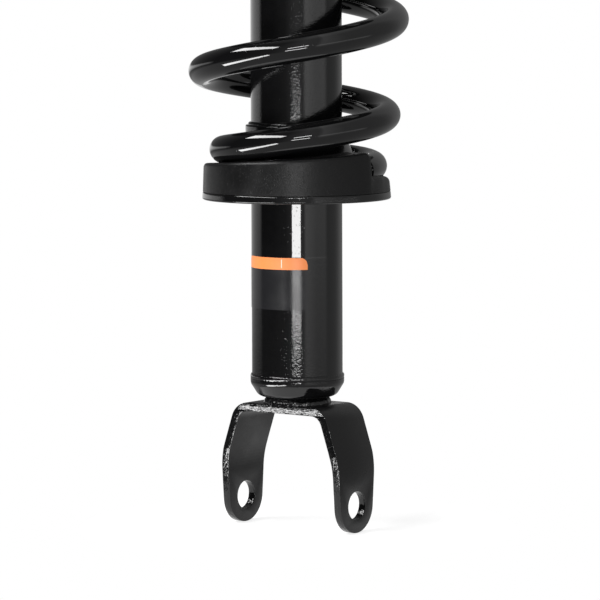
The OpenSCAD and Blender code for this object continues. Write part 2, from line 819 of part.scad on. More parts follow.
module dust_boot() {
    low_bore_r = cap_r;
    high_bore_r = bump_cup_r + boot_play;
    fold_h = (boot_high_z - boot_low_z) / folds;
    root_r = boot_r - fold_depth;
    zigzag = [
        for (k = [0:folds - 1])
            each [
                [root_r, boot_low_z + fold_h * k + fold_h * 0.1],
                [boot_r - boot_wall, boot_low_z + fold_h * k + fold_h * 0.45],
                [boot_r - boot_wall, boot_low_z + fold_h * k + fold_h * 0.65],
            ]
    ];
    inner = concat(
        [[low_bore_r, boot_z], [low_bore_r, boot_low_z]],
        zigzag,
        [[root_r, boot_high_z], [high_bore_r, boot_high_z], [high_bore_r, boot_top_z]]
    );
    outer = [for (p = inner) p + [boot_wall, 0]];
    color(rubber) rotate_extrude() polygon(concat(inner, reversed(outer)));
}

/* Upper mount */

module retainer() {
    rim_x = retainer_r - retainer_edge_r;
    color(zinc) rotate_extrude() polygon(concat(
        [[thread_r, 0]],
        arc_pts([rim_x, retainer_edge_r], retainer_edge_r, -90, 0),
        arc_pts([rim_x, retainer_t - retainer_edge_r], retainer_edge_r, 0, 90),
        [[thread_r, retainer_t]]
    ));
}

module lower_retainer() {
    translate([0, 0, sleeve_z - retainer_t]) retainer();
}

module mount_sleeve() {
    color(zinc) translate([0, 0, sleeve_z]) ring(sleeve_r, thread_r + 0.1, sleeve_len);
}

module mount_bush() {
    waist_r = retainer_r - 2;
    lip_r = retainer_r + 2;
    lip_gap = 2;
    foot_h = 4;
    flare_h = 6;
    color(rubber) rotate_extrude() polygon([
        [sleeve_r, sleeve_z], [waist_r, sleeve_z], [waist_r, sleeve_z + foot_h],
        [hat_bore_r, riser_z - flare_h], [hat_bore_r, hat_top_z - plate_t],
        [hat_hole_r, hat_top_z - plate_t], [hat_hole_r, hat_top_z],
        [lip_r - 1, hat_top_z], [lip_r, hat_top_z + lip_gap],
        [waist_r, sleeve_top_z], [sleeve_r, sleeve_top_z],
    ]);
}

module upper_insulator() {
    color(rubber) translate([0, 0, top_face_z]) rotate(top_step_angle) mirror([0, 0, 1])
        mirror([0, 1, 0])
            ramped_pad(
                top_pad_r, top_pad_bore_r, 1, top_pad_web, [[0, coil_full_r], [1, coil_full_r]], lip_h
            );
}

module upper_spring_seat() {
    t = top_seat_t;
    edge = 4;
    neck_r = riser_neck_r;
    color(paint) rotate_extrude() polygon(concat(
        [
            [top_seat_r - t, top_face_z - top_rim_h], [top_seat_r, top_face_z - top_rim_h],
        ],
        arc_pts([top_seat_r - edge, top_face_z + t - edge], edge, 0, 90),
        [
            [riser_r, top_face_z + t], [neck_r, riser_z + t],
            [hat_bore_r, riser_z + t], [hat_bore_r, riser_z],
            [neck_r - t, riser_z], [riser_r - t, top_face_z],
            [top_seat_r - t, top_face_z],
        ]
    ));
}

module plate_outline() {
    corner = [for (k = [0:2]) 90 + k * turn / 3];
    for (a = corner) rotate(a) translate([stud_circle_r, 0]) circle(r = lobe_r);
    polygon([
        for (a = corner)
            for (s = [-60, 60])
                stud_circle_r * [cos(a), sin(a)] + lobe_r * [cos(a + s), sin(a + s)]
    ]);
}

module mount_plate() {
    color(satin_black) difference() {
        union() {
            translate([0, 0, plate_z]) linear_extrude(plate_t) plate_outline();
            rotate_extrude() polygon(concat(
                [[0, plate_z], [hat_r + hat_foot_r, plate_z]],
                arc_pts([hat_r + hat_foot_r, mount_face_z + hat_foot_r], hat_foot_r, -90, -180),
                arc_pts([hat_r - hat_edge_r, hat_top_z - hat_edge_r], hat_edge_r, 0, 90),
                [[0, hat_top_z]]
            ));
        }
        translate([0, 0, plate_z - eps])
            cylinder(r = hat_bore_r, h = hat_top_z - plate_t - plate_z + eps);
        cylinder(r = hat_hole_r, h = hat_top_z + 1);
        around(3, 90) translate([stud_circle_r, 0, plate_z - 1])
            cylinder(r = knurl_r, h = plate_t + 2);
    }
}

module mount_studs() {
    chamfer = 1.2;
    color(zinc) around(3, 90) translate([stud_circle_r, 0, plate_z]) rotate_extrude($fn = 48)
        polygon([
            [0, -stud_head_h], [stud_head_r, -stud_head_h], [stud_head_r, 0],
            [knurl_r, 0], [knurl_r, plate_t], [stud_r, plate_t],
            [stud_r, plate_t + stud_len - chamfer], [stud_r - chamfer, plate_t + stud_len],
            [0, plate_t + stud_len],
        ]);
}

module upper_retainer() {
    translate([0, 0, sleeve_top_z]) retainer();
}

module rod_nut() {
    flange_h = 2.5;
    flange_rim_h = 1.4;
    nut_r = rod_nut_af / 2 / cos(30);
    flange_r = nut_r + 1.5;
    chamfer = nut_r - rod_nut_af / 2;
    color(zinc) translate([0, 0, sleeve_top_z + retainer_t]) difference() {
        union() {
            intersection() {
                cylinder(r = nut_r, h = rod_nut_h, $fn = 6);
                rotate_extrude() polygon([
                    [0, 0], [nut_r, 0], [nut_r, rod_nut_h - chamfer * tan(30)],
                    [nut_r - chamfer, rod_nut_h], [0, rod_nut_h],
                ]);
            }
            rotate_extrude() polygon([
                [0, 0], [flange_r, 0], [flange_r, flange_rim_h],
                [nut_r - chamfer, flange_h], [0, flange_h],
            ]);
        }
        translate([0, 0, -eps]) cylinder(r = thread_r, h = rod_nut_h + 2 * eps);
    }
}

fork_bracket();
fork_weld();
base_cup();
base_weld();
reserve_tube();
lower_spring_seat();
seat_weld();
lower_insulator();
coil_spring();
pressure_tube();
base_valve();
base_valve_shims();
base_valve_bolt();
rod_guide();
guide_bush();
oil_seal();
strike_cap();
dust_boot();
piston_rod();
rebound_stop();
rebound_pad();
piston();
piston_band();
piston_shims();
piston_nut();
jounce_bumper();
bumper_cup();
lower_retainer();
mount_sleeve();
mount_bush();
upper_insulator();
upper_spring_seat();
mount_plate();
mount_studs();
upper_retainer();
rod_nut();
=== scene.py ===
"""Finish of a loaded coil-over strut: painted damper and fork, spring, rubber and upper mount."""

import json
import math
import bmesh
import bpy
from bpy.props import FloatProperty, FloatVectorProperty, IntProperty, PointerProperty
from mathutils import Matrix, Vector, noise


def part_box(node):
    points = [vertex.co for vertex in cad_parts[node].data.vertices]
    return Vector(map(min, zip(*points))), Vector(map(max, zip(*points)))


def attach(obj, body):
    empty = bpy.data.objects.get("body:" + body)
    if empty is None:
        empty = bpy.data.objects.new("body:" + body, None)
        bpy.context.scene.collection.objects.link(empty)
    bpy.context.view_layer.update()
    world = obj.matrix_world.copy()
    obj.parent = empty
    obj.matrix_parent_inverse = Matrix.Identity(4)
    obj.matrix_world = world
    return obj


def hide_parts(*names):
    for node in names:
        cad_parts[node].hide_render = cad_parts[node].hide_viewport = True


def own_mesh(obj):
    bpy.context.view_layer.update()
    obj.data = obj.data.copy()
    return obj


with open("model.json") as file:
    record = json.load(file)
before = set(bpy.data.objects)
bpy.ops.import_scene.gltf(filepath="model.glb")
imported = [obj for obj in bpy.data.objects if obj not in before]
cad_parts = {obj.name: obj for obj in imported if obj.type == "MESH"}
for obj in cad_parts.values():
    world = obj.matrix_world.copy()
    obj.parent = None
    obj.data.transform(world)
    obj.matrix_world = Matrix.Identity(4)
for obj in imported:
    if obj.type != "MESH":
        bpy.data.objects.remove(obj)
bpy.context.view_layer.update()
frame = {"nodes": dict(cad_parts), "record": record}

bl_info = {
    "name": "Strut Assembly Finish",
    "version": (1, 0, 0),
    "blender": (4, 5, 0),
    "location": "3D View > Sidebar > Strut",
    "description": "Builds the finished surfaces of a coil-over strut round its frame",
    "category": "Object",
}

MM = 0.001
STRUT = "strut_body"
ROD = "rod_assembly"
ROUND = 160  # facets round a turned piece
SMOOTH_ANGLE = math.radians(32)
SMOOTH_PAINT = ((0.1462, 0.1470), (0.1780, 0.1795))  # heights where it sets in, and where it ends

SLOTS = {s["node"]: s["material_slot"] for s in frame["record"]["subparts"]}


def low(node):
    """Height of a node's lowest point."""
    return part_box(node)[0].z


def high(node):
    """Height of a node's highest point."""
    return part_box(node)[1].z


def reach(node):
    """Radius of a turned node's widest place."""
    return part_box(node)[1].x


# ---------------------------------------------------------------- sizes


def length(name, description, default):
    """A length that shows in the sidebar, in metres."""
    return FloatProperty(
        name=name, description=description, default=default, min=0, unit="LENGTH", precision=5
    )


def angle(name, description, degrees):
    """An angle that shows in the sidebar."""
    return FloatProperty(
        name=name, description=description, default=math.radians(degrees), unit="ROTATION"
    )


def count(name, description, default):
    """A whole number that shows in the sidebar."""
    return IntProperty(name=name, description=description, default=default, min=1)


def number(name, description, default):
    """A plain number that shows in the sidebar."""
    return FloatProperty(name=name, description=description, default=default, precision=4)


def colour(name, description, default):
    """A linear colour that shows in the sidebar."""
    return FloatVectorProperty(
        name=name, description=description, default=default, subtype="COLOR", min=0, max=1
    )


class ForkSizes(bpy.types.PropertyGroup):
    """The bent strap that takes the control arm's bush"""

    gap: length("Gap", "Clear width between the two ears", 77 * MM)
    thickness: length("Thickness", "Thickness of the strap", 5 * MM)
    ear_radius: length("Ear radius", "Radius of each round end", -low("fork_bracket"))
    half_width: length("Half width", "Half the strap's width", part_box("fork_bracket")[1].y)
    hole_radius: length("Hole radius", "Radius of the bolt hole", 8.5 * MM)
    knee_height: length("Knee height", "Height of the gentle bend", 25 * MM)
    knee_radius: length("Knee radius", "Radius of the gentle bend", 50 * MM)
    lean: angle("Lean", "Lean of the strap between knee and shoulder", 18.5)
    shoulder_radius: length("Shoulder radius", "Radius of the tight bend", 10 * MM)
    top: length("Top", "Height of the strap's top face", high("fork_bracket"))
    edge: length("Edge", "Rounding of the sheared edges", 0.45 * MM)


class DamperSizes(bpy.types.PropertyGroup):
    """Tube, base cup and the welds on them"""

    tube_radius: length("Tube radius", "Outside radius of the tube", reach("reserve_tube"))
    tube_wall: length("Tube wall", "Wall of the tube", 2.5 * MM)
    boss_radius: length("Boss radius", "Radius of the boss over the fork", 17.4 * MM)
    cup_round: length("Cup rounding", "Rounding of the base cup", 11 * MM)
    cup_proud: length("Cup proud", "How far the cup stands out past the tube", 0.9 * MM)
    crimp_hole: length("Crimp opening", "Radius inside the rolled lip", 18 * MM)
    bead_height: length("Bead height", "How far the weld beads stand proud", 0.9 * MM)
    ripples: count("Ripples", "Ripples in a weld bead, once round", 74)


class SeatSizes(bpy.types.PropertyGroup):
    """Pressed steel seats at both ends of the spring"""

    steel: length("Steel", "Thickness of the lower seat", 3.2 * MM)
    rim: length("Rim", "Height of the rim that turns down", 4.7 * MM)
    rim_edge: length("Rim edge", "Rounding of the rim's corners", 1.1 * MM)
    flare: length("Flare", "How far the rim flares out towards its edge", 0.35 * MM)
    crown: length("Crown", "Radius of the crown at its foot", 35.95 * MM)
    fillet: length("Fillet", "Fillet between face and crown", 3 * MM)
    collar: length("Collar", "Length of the collar on the tube", 13 * MM)
    top_steel: length("Top steel", "Thickness of the upper seat", 3 * MM)
    top_rim: length("Top rim", "Depth of the rim that turns down", 10 * MM)
    riser: length("Riser", "Radius of the raised middle at its foot", 50 * MM)


class InsulatorSizes(bpy.types.PropertyGroup):
    """Rubber rings whose ramps follow the wire"""

    low_height: length("Low height", "Height of the ramp's low end", 4.9 * MM)
    rise: length("Rise", "Rise of the ramp in one turn", 19 * MM)
    draft: length("Draft", "How far the outside leans in", 0.5 * MM)
    edge: length("Edge", "Rounding of the outer top edge", 2.4 * MM)
    bore_edge: length("Bore edge", "Rounding of the inner top edge", 1.5 * MM)
    bore_foot: length("Bore foot", "Chamfer at the foot of the bore", 2.3 * MM)
    lip: length("Lip", "Height of the lips beside the wire", 0.3 * MM)
    tip_lip: length("Tip lip", "Height of the outer lip at the wire's tip", 5.4 * MM)
    tip_lip_arc: angle("Tip lip arc", "Arc over which that lip sinks", 50)
    play: length("Play", "How much wider than the wire the groove is", 1 * MM)
    step_at: angle("Step", "Direction of the step's foot", -0.5)
    step_arc: angle("Step arc", "Arc of the step at the wire's end", 1)
    loaded: number("Loaded", "Share of its height that the upper ring keeps under full load", 0.71)
    step_foot: length("Step foot", "Fillet at the foot of the step, outside", 7 * MM)
    step_crest: length("Step crest", "Rounding of the step's crest", 3 * MM)
    bore: length("Bore", "Inside radius of the lower insulator", 36.85 * MM)
    top_bore: length("Top bore", "Inside radius of the upper insulator", 50.45 * MM)
    top_web: length("Top web", "Least thickness of the upper insulator", 4.3 * MM)


class SpringSizes(bpy.types.PropertyGroup):
    """The coil spring, small at its foot and wider above"""

    wire: length("Wire radius", "Radius of the wire", 8.25 * MM)
    turns: number("Turns", "Turns from tip to tip", 5.75)
    tip_angle: angle("Tip angle", "Angle of the lower tip", 1)
    tip_radius: length("Tip radius", "Coil radius at the lower tip", 46.4 * MM)
    small_radius: length("Small radius", "Coil radius of the first turn", 43.1 * MM)
    full_radius: length("Full radius", "Coil radius of the full turns", 58.4 * MM)
    end_rise: length("End rise", "Rise per turn on the insulators", 19 * MM)
    mid_rise: length("Middle rise", "Rise per turn where the wire opens", 46.5 * MM)
    full_rise: length("Full rise", "Rise per turn of the full coils", 66 * MM)
    cut_edge: length("Cut edge", "Chamfer of the cut ends", 0.8 * MM)
    rings: count("Rings", "Sections of the wire in each turn", 112)
    facets: count("Facets", "Facets round the wire", 44)


class BumpStopSizes(bpy.types.PropertyGroup):
    """Strike cap, jounce bumper, its cup and the dust boot"""

    sheet: length("Sheet", "Thickness of the strike cap", 1.6 * MM)
    cup_wall: length("Cup wall", "Thickness of the bumper cup", 2 * MM)
    rod_radius: length("Rod radius", "Radius of the piston rod", 11 * MM)
    rings: count("Rings", "Rings of the jounce bumper", 3)
    waist: length("Waist", "Depth of the grooves between its rings", 3.5 * MM)
    folds: count("Folds", "Folds of the dust boot", 13)
    fold_depth: length("Fold depth", "Depth of each fold", 5 * MM)
    boot_wall: length("Boot wall", "Wall of the boot", 1.2 * MM)
    boot_collar: length("Boot collar", "Height of each collar of the boot", 12 * MM)


class MountSizes(bpy.types.PropertyGroup):
    """Upper mount with its studs, bush, retainers and nut"""

    plate: length("Plate", "Thickness of the mount plate", 4 * MM)
    stud_circle: length("Stud circle", "Radius of the circle through the studs", 58 * MM)
    stud_radius: length("Stud radius", "Radius of the studs", 5 * MM)
    stud_pitch: length("Stud pitch", "Pitch of the studs' thread", 1.5 * MM)
    stud_step: length("Stud step", "How much wider a stud is in its hole", 0.6 * MM)
    lobe: length("Lobe", "Radius of the plate round each stud", 15 * MM)
    hat: length("Hat", "Radius of the hat over the bush", 34 * MM)
    hat_hole: length("Hat hole", "Radius of the opening in the hat", 19 * MM)
    thread_radius: length("Thread radius", "Radius of the rod's threaded end", 7 * MM)
    rod_pitch: length("Rod pitch", "Pitch of the rod's thread", 1.5 * MM)
    nut_flats: length("Nut flats", "Width of the nut across its flats", 22 * MM)
    socket_flats: length("Socket flats", "Width of the socket in the rod's end", 6 * MM)
    socket_depth: length("Socket depth", "Depth of that socket", 7 * MM)
    sleeve: length("Sleeve radius", "Outside radius of the bush's sleeve", 10.5 * MM)


class LabelSizes(bpy.types.PropertyGroup):
    """The sticker on the tube, bare of words"""

    bottom: length("Bottom", "Height of the sticker's lower edge", 115.9 * MM)
    band_bottom: length("Band bottom", "Height of the orange band's lower edge", 139.7 * MM)
    top: length("Top", "Height of the sticker's upper edge", 146.7 * MM)
    middle: angle("Middle", "Direction of the sticker's middle", -90)
    half_arc: angle("Half arc", "Half the arc that it covers", 50)
    corner: length("Corner", "Radius of its upper corners", 4.2 * MM)
    film: length("Film", "Thickness of the film", 0.12 * MM)
    rule_angle: angle("Rule angle", "Direction of the thin line across the band", -73)
    rule_width: length("Rule width", "Width of that line", 0.3 * MM)
    band: colour("Band", "Colour of the band", (0.72, 0.215, 0.060))
    panel: colour("Panel", "Colour of the panel under the band", (0.009, 0.009, 0.010))
    rule: colour("Rule", "Colour of the thin line", (0.80, 0.79, 0.77))


class StageSettings(bpy.types.PropertyGroup):
    """Camera, floor and lights"""

    camera_turn: angle("Camera turn", "Direction of the camera round the strut", 36.584)
    camera_rise: angle("Camera rise", "Height of the camera over the level", 5.24)
    camera_roll: angle("Camera roll", "Roll of the camera", 0.217)
    distance: length("Distance", "Distance from camera to strut", 2.2)
    aim_height: length("Aim height", "Height that the camera aims at", 119.577 * MM)
    aim_side: length("Aim side", "How far the aim lies to the right", 1.71 * MM)
    lens: number("Lens", "Focal length in millimetres", 222.44)
    floor_radius: length("Floor radius", "Radius of the floor", 0.13)
    floor_colour: colour("Floor", "Colour of the floor", (0.42, 0.42, 0.42))
    floor_glow: number("Floor glow", "Glow of the floor to camera and mirrored rays", 0.75)


GROUPS = {
    "strut_fork": ForkSizes,
    "strut_damper": DamperSizes,
    "strut_seats": SeatSizes,
    "strut_insulators": InsulatorSizes,
    "strut_spring": SpringSizes,
    "strut_bump_stop": BumpStopSizes,
    "strut_mount": MountSizes,
    "strut_label": LabelSizes,
    "strut_stage": StageSettings,
}


# ---------------------------------------------------------------- node trees


class Tree:
    """Short ways to add nodes to a tree and wire them."""

    def __init__(self, tree):
        self.tree = tree

    def add(self, kind, inputs=None, **settings):
        """Adds a node, sets its properties, and fills or links its inputs."""
        node = self.tree.nodes.new(kind)
        for key, value in settings.items():
            setattr(node, key, value)
        for key, value in (inputs or {}).items():
            if isinstance(value, bpy.types.NodeSocket):
                self.tree.links.new(value, node.inputs[key])
            else:
                node.inputs[key].default_value = value
        return node

    def math(self, operation, first, second=0.0, third=0.0):
        """One step of arithmetic on numbers or sockets."""
        inputs = {0: first, 1: second, 2: third}
        return self.add("ShaderNodeMath", inputs, operation=operation).outputs[0]

    def add_up(self, values):
        """The sum of several sockets."""
        total = values[0]
        for value in values[1:]:
            total = self.math("ADD", total, value)
        return total

    def rays(self):
        """Whether a ray is the camera's, and whether it is mirrored or goes through glass."""
        path = self.add("ShaderNodeLightPath").outputs
        mirrored = self.math("MAXIMUM", path["Is Glossy Ray"], path["Is Transmission Ray"])
        return path["Is Camera Ray"], mirrored


# ---------------------------------------------------------------- finishes


class Finish(Tree):
    """A material's tree, with its shader at hand."""

    def __init__(self, name):
        self.material = bpy.data.materials.get(name) or bpy.data.materials.new(name)
        self.material.use_nodes = True
        super().__init__(self.material.node_tree)
        self.tree.nodes.clear()
        self.shader = self.add("ShaderNodeBsdfPrincipled")
        output = self.add("ShaderNodeOutputMaterial")
        self.tree.links.new(self.shader.outputs[0], output.inputs[0])
        self.place = self.add("ShaderNodeTexCoord").outputs["Object"]

    def set(self, **values):
        """Sets or links the shader's sockets, whose names are given with _ for a space."""
        for key, value in values.items():
            socket = self.shader.inputs[key.replace("_", " ")]
            if isinstance(value, bpy.types.NodeSocket):
                self.tree.links.new(value, socket)
            else:
                socket.default_value = value

    def grain(self, per_metre, detail=2.0, rough=0.5, stretch=None):
        """Noise in the object's own space, from 0 to 1, most of it between 0.3 and 0.7."""
        place = self.place
        if stretch:
            inputs = {"Vector": self.place, "Scale": stretch}
            place = self.add("ShaderNodeMapping", inputs).outputs[0]
        inputs = {"Vector": place, "Scale": per_metre, "Detail": detail, "Roughness": rough}
        return self.add("ShaderNodeTexNoise", inputs).outputs["Fac"]

    def cells(self, per_metre):
        """Round cells in the object's own space, 0 at the middle of each."""
        inputs = {"Vector": self.place, "Scale": per_metre}
        return self.add("ShaderNodeTexVoronoi", inputs, feature="F1").outputs["Distance"]

    def between(self, value, start, end, from_low=0.3, from_high=0.7):
        """Maps a value from one range on to another, and holds it there."""
        inputs = {"Value": value, "From Min": from_low, "From Max": from_high}
        inputs.update({"To Min": start, "To Max": end})
        return self.add("ShaderNodeMapRange", inputs).outputs[0]

    def tint(self, value, first, second):
        """A colour between two, by a value from 0 to 1."""
        mix = self.add("ShaderNodeMix", {"Factor": value}, data_type="RGBA")
        colours = [s for s in mix.inputs if s.type == "RGBA"]
        colours[0].default_value = (*first, 1)
        colours[1].default_value = (*second, 1)
        return next(s for s in mix.outputs if s.type == "RGBA")

    def bump(self, *heights):
        """Bumps the surface by each (height, depth in metres) in turn."""
        normal = None
        for height, depth in heights:
            node = self.add("ShaderNodeBump", {"Height": height, "Distance": depth})
            if normal is not None:
                self.tree.links.new(normal, node.inputs["Normal"])
            normal = node.outputs[0]
        self.tree.links.new(normal, self.shader.inputs["Normal"])

    def split_position(self):
        """The x, y and z of the object's own space."""
        return self.add("ShaderNodeSeparateXYZ", {"Vector": self.place}).outputs


def gloss_black_steel():
    """Black paint with orange peel, smoother on the part of the tube above the sticker."""
    paint = Finish("gloss_black_steel")
    z = paint.split_position()["Z"]
    over_label, under_seat = SMOOTH_PAINT
    smooth = paint.math(
        "MULTIPLY", paint.between(z, 0, 1, *over_label), paint.between(z, 1, 0, *under_seat)
    )
    peel = paint.grain(1150, 1.5, 0.55)
    settled = paint.math("MULTIPLY", peel, paint.between(smooth, 1.0, 0.03, 0, 1))
    waves = paint.grain(240, 1.0)
    dust = paint.between(paint.grain(900, 0.0), 0.0, 1.0, 0.73, 0.78)
    paint.set(
        Base_Color=paint.tint(waves, (0.0024, 0.0024, 0.0026), (0.0038, 0.0038, 0.0040)),
        Roughness=paint.between(paint.grain(70, 3.0), 0.018, 0.035),
        Specular_IOR_Level=0.5,
    )
    paint.bump((settled, 0.000045), (waves, 0.000004), (dust, 0.00001))
    return paint.material


def spring_paint():
    """Smooth powder coat on the spring, with faint peel and a few specks."""
    paint = Finish("spring_paint")
    cloud = paint.grain(60, 2.0)
    dust = paint.between(paint.grain(700, 0.0), 0.0, 1.0, 0.74, 0.79)
    paint.set(
        Base_Color=paint.tint(cloud, (0.0022, 0.0022, 0.0024), (0.0034, 0.0034, 0.0036)),
        Roughness=paint.between(paint.grain(90, 3.0), 0.025, 0.05),
        Specular_IOR_Level=0.5,
    )
    paint.bump((paint.grain(420, 1.0), 0.000012), (dust, 0.00001))
    return paint.material


def satin_black_steel():
    """Satin coat on the faces of the fork and the mount plate, with faint rolling marks."""
    paint = Finish("satin_black_steel")
    cloud = paint.grain(45, 4.0, 0.6)
    paint.set(
        Base_Color=paint.tint(cloud, (0.0040, 0.0040, 0.0042), (0.0072, 0.0072, 0.0075)),
        Roughness=paint.between(paint.grain(120, 4.0), 0.26, 0.38),
        Specular_IOR_Level=0.3,
    )
    paint.bump((paint.grain(1400, 2.0), 0.00002), (cloud, 0.00004))
    return paint.material


def sheared_edge():
    """Glossy coat over the torn grain of a sheared edge.

    The grain runs down the ears and across the bridge between them, whose edge is undercut.
    """
    paint = Finish("sheared_edge")
    below_top = paint.math("SUBTRACT", high("fork_bracket"), paint.split_position()["Z"])
    bridge = paint.math(
        "MULTIPLY",
        paint.between(below_top, 0, 1, 0.8 * MM, 1.6 * MM),
        paint.between(below_top, 1, 0, 4.4 * MM, 5.6 * MM),
    )
    down, across = (paint.grain(700, 2.0, 0.6, way) for way in ((1, 1, 0.3), (0.3, 1, 1)))
    tear = paint.math("MULTIPLY_ADD", paint.math("SUBTRACT", across, down), bridge, down)
    slope = 0.19
    over_middle = paint.math("SUBTRACT", 3 * MM, below_top)
    undercut = paint.math("MULTIPLY", paint.math("MULTIPLY", over_middle, slope), bridge)
    pits = paint.grain(1500, 1.0)
    paint.set(
        Base_Color=(0.0032, 0.0032, 0.0034, 1),
        Roughness=paint.between(pits, 0.04, 0.09),
        Specular_IOR_Level=0.5,
    )
    paint.bump((undercut, 1.0), (tear, 0.00036), (pits, 0.00004))
    return paint.material


def insulator_rubber():
    """Moulded rubber with a fine grain and a dry bloom in places."""
    rubber = Finish("insulator_rubber")
    bloom = rubber.grain(38, 3.0, 0.6, (1, 1, 0.5))
    specks = rubber.between(rubber.grain(1300, 0.0), 0.0, 1.0, 0.70, 0.76)
    rubber.set(
        Base_Color=rubber.tint(bloom, (0.0016, 0.0016, 0.0017), (0.0034, 0.0034, 0.0036)),
        Roughness=rubber.between(bloom, 0.28, 0.46),
        Specular_IOR_Level=0.25,
    )
    rubber.bump((rubber.grain(2200, 3.0, 0.6), 0.00006), (specks, 0.00004))
    return rubber.material


def moulded(name, shades, rough, clouds, wear, skin, depth, shine=0.5):
    """Rubber or plastic, with grains for its tone, its wear and its moulded skin."""
    coat = Finish(name)
    coat.set(
        Base_Color=coat.tint(coat.grain(*clouds), *shades),
        Roughness=coat.between(coat.grain(*wear), *rough),
        Specular_IOR_Level=shine,
    )
    coat.bump((coat.grain(*skin), depth))
    return coat.material


def bush_rubber():
    """Dense rubber of the mount's bush, with a smooth moulded skin."""
    shades = (0.014, 0.014, 0.0145), (0.024, 0.024, 0.025)
    grains = (70, 3.0), (200, 3.0), (1800, 2.0)
    return moulded("bush_rubber", shades, (0.48, 0.62), *grains, 0.00005, 0.4)


def boot_rubber():
    """Blown rubber of the dust boot, a little shiny and dusty in its folds."""
    shades = (0.018, 0.018, 0.019), (0.034, 0.033, 0.032)
    grains = (55, 4.0, 0.65), (55, 4.0, 0.65), (900, 2.0)
    return moulded("boot_rubber", shades, (0.36, 0.55), *grains, 0.00004, 0.45)


def seal_rubber():
    """Nitrile rubber of the seal and the rebound pad."""
    shades = (0.014, 0.014, 0.015), (0.026, 0.026, 0.027)
    grains = (120, 2.0), (300, 2.0), (1500, 1.0)
    return moulded("seal_rubber", shades, (0.40, 0.55), *grains, 0.00003)


def band_plastic():
    """Bronze-filled plastic of the piston's band."""
    shades = (0.27, 0.22, 0.12), (0.42, 0.36, 0.23)
    grains = (2200, 2.0), (300, 3.0), (2200, 2.0)
    return moulded("band_plastic", shades, (0.38, 0.52), *grains, 0.00002)


def bumper_foam():
    """Cellular polyurethane with a thin skin and small open cells."""
    foam = Finish("bumper_foam")
    cells = foam.cells(900.0)
    age = foam.grain(35, 4.0, 0.6)
    foam.set(
        Base_Color=foam.tint(age, (0.52, 0.40, 0.17), (0.68, 0.57, 0.30)),
        Roughness=foam.between(cells, 0.62, 0.82, 0.0, 0.6),
        Specular_IOR_Level=0.35,
    )
    foam.bump((cells, 0.00012), (age, 0.0002))
    return foam.material


def turned_metal(name, dark, bright, rough, lines=4000.0, tone=60.0):
    """Bare or plated metal with fine marks round its axis."""
    metal = Finish(name)
    marks = metal.grain(lines, 2.0, 0.6, (0.06, 0.06, 1.0))
    cloud = metal.grain(tone, 4.0, 0.6)
    metal.set(
        Base_Color=metal.tint(cloud, dark, bright),
        Metallic=1.0,
        Roughness=metal.between(metal.math("MULTIPLY", marks, cloud), *rough, 0.1, 0.4),
    )
    metal.bump((marks, 0.000006), (cloud, 0.00001))
    return metal.material


def bright_steel():
    """Drawn steel of the inner tube, shims and stop."""
    return turned_metal("bright_steel", (0.50, 0.50, 0.52), (0.62, 0.62, 0.64), (0.18, 0.34))


def zinc_steel():
    """Zinc plate, passivated to a faint yellow."""
    return turned_metal("zinc_steel", (0.50, 0.48, 0.40), (0.68, 0.66, 0.58), (0.24, 0.44), 2500.0)


def chromed_rod():
    """Ground and hard-chromed rod."""
    return turned_metal("chromed_rod", (0.72, 0.72, 0.74), (0.80, 0.80, 0.82), (0.05, 0.11), 6000.0)


def bush_lining():
    """Bronze lining of the rod guide's bush."""
    return turned_metal("bush_lining", (0.45, 0.30, 0.14), (0.60, 0.44, 0.24), (0.22, 0.38))


def sintered_iron():
    """Pressed and sintered iron, with open pores."""
    iron = Finish("sintered_iron")
    pores = iron.cells(1600.0)
    iron.set(
        Base_Color=iron.tint(iron.grain(90, 4.0), (0.17, 0.17, 0.18), (0.27, 0.27, 0.28)),
        Metallic=1.0,
        Roughness=iron.between(pores, 0.62, 0.42, 0.0, 0.5),
    )
    iron.bump((pores, 0.00006))
    return iron.material


def label_film(name, shade, rough):
    """Printed film with a soft sheen."""
    film = Finish(name)
    print_tone = film.grain(160, 3.0)
    darker = tuple(0.93 * c for c in shade)
    film.set(
        Base_Color=film.tint(print_tone, darker, shade),
        Roughness=film.between(film.grain(80, 3.0), rough * 0.85, rough * 1.15),
        Specular_IOR_Level=0.45,
    )
    film.bump((film.grain(350, 1.0), 0.00001))
    return film.material


PAINTS = (satin_black_steel, gloss_black_steel, spring_paint)
RUBBERS = (insulator_rubber, bush_rubber, boot_rubber, seal_rubber, bumper_foam, band_plastic)
METALS = (bright_steel, zinc_steel, chromed_rod, sintered_iron, bush_lining)
FINISHES = {recipe.__name__: recipe for recipe in (*PAINTS, *RUBBERS, *METALS)}
MADE = {}  # the materials made so far, by slot


def finish(slot):
    """The material of a slot, made once in place of the frame's plain one."""
    if slot not in MADE:
        MADE[slot] = FINISHES[slot]()
    return MADE[slot]


# ---------------------------------------------------------------- mesh helpers


def polar(radius, turn, z=0.0):
    """A point from its radius and angle."""
    return Vector((radius * math.cos(turn), radius * math.sin(turn), z))


def piece(name, mesh, body, slot, nodes=(), keep_smooth=SMOOTH_ANGLE):
    """An object of a finished mesh that rides on a body and stands for some nodes.

    Edges sharper than keep_smooth stay sharp.
    """
    mesh.shade_smooth()
    mesh.set_sharp_from_angle(angle=keep_smooth)
    if not mesh.materials:
        mesh.materials.append(finish(slot))
    obj = bpy.data.objects.new(name, mesh)
    bpy.context.scene.collection.objects.link(obj)
    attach(obj, body)
    if nodes:
        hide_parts(*nodes)
    return obj


def squash_to_stroke(obj):
    """Gives a piece a mesh of its own."""
    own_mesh(obj)


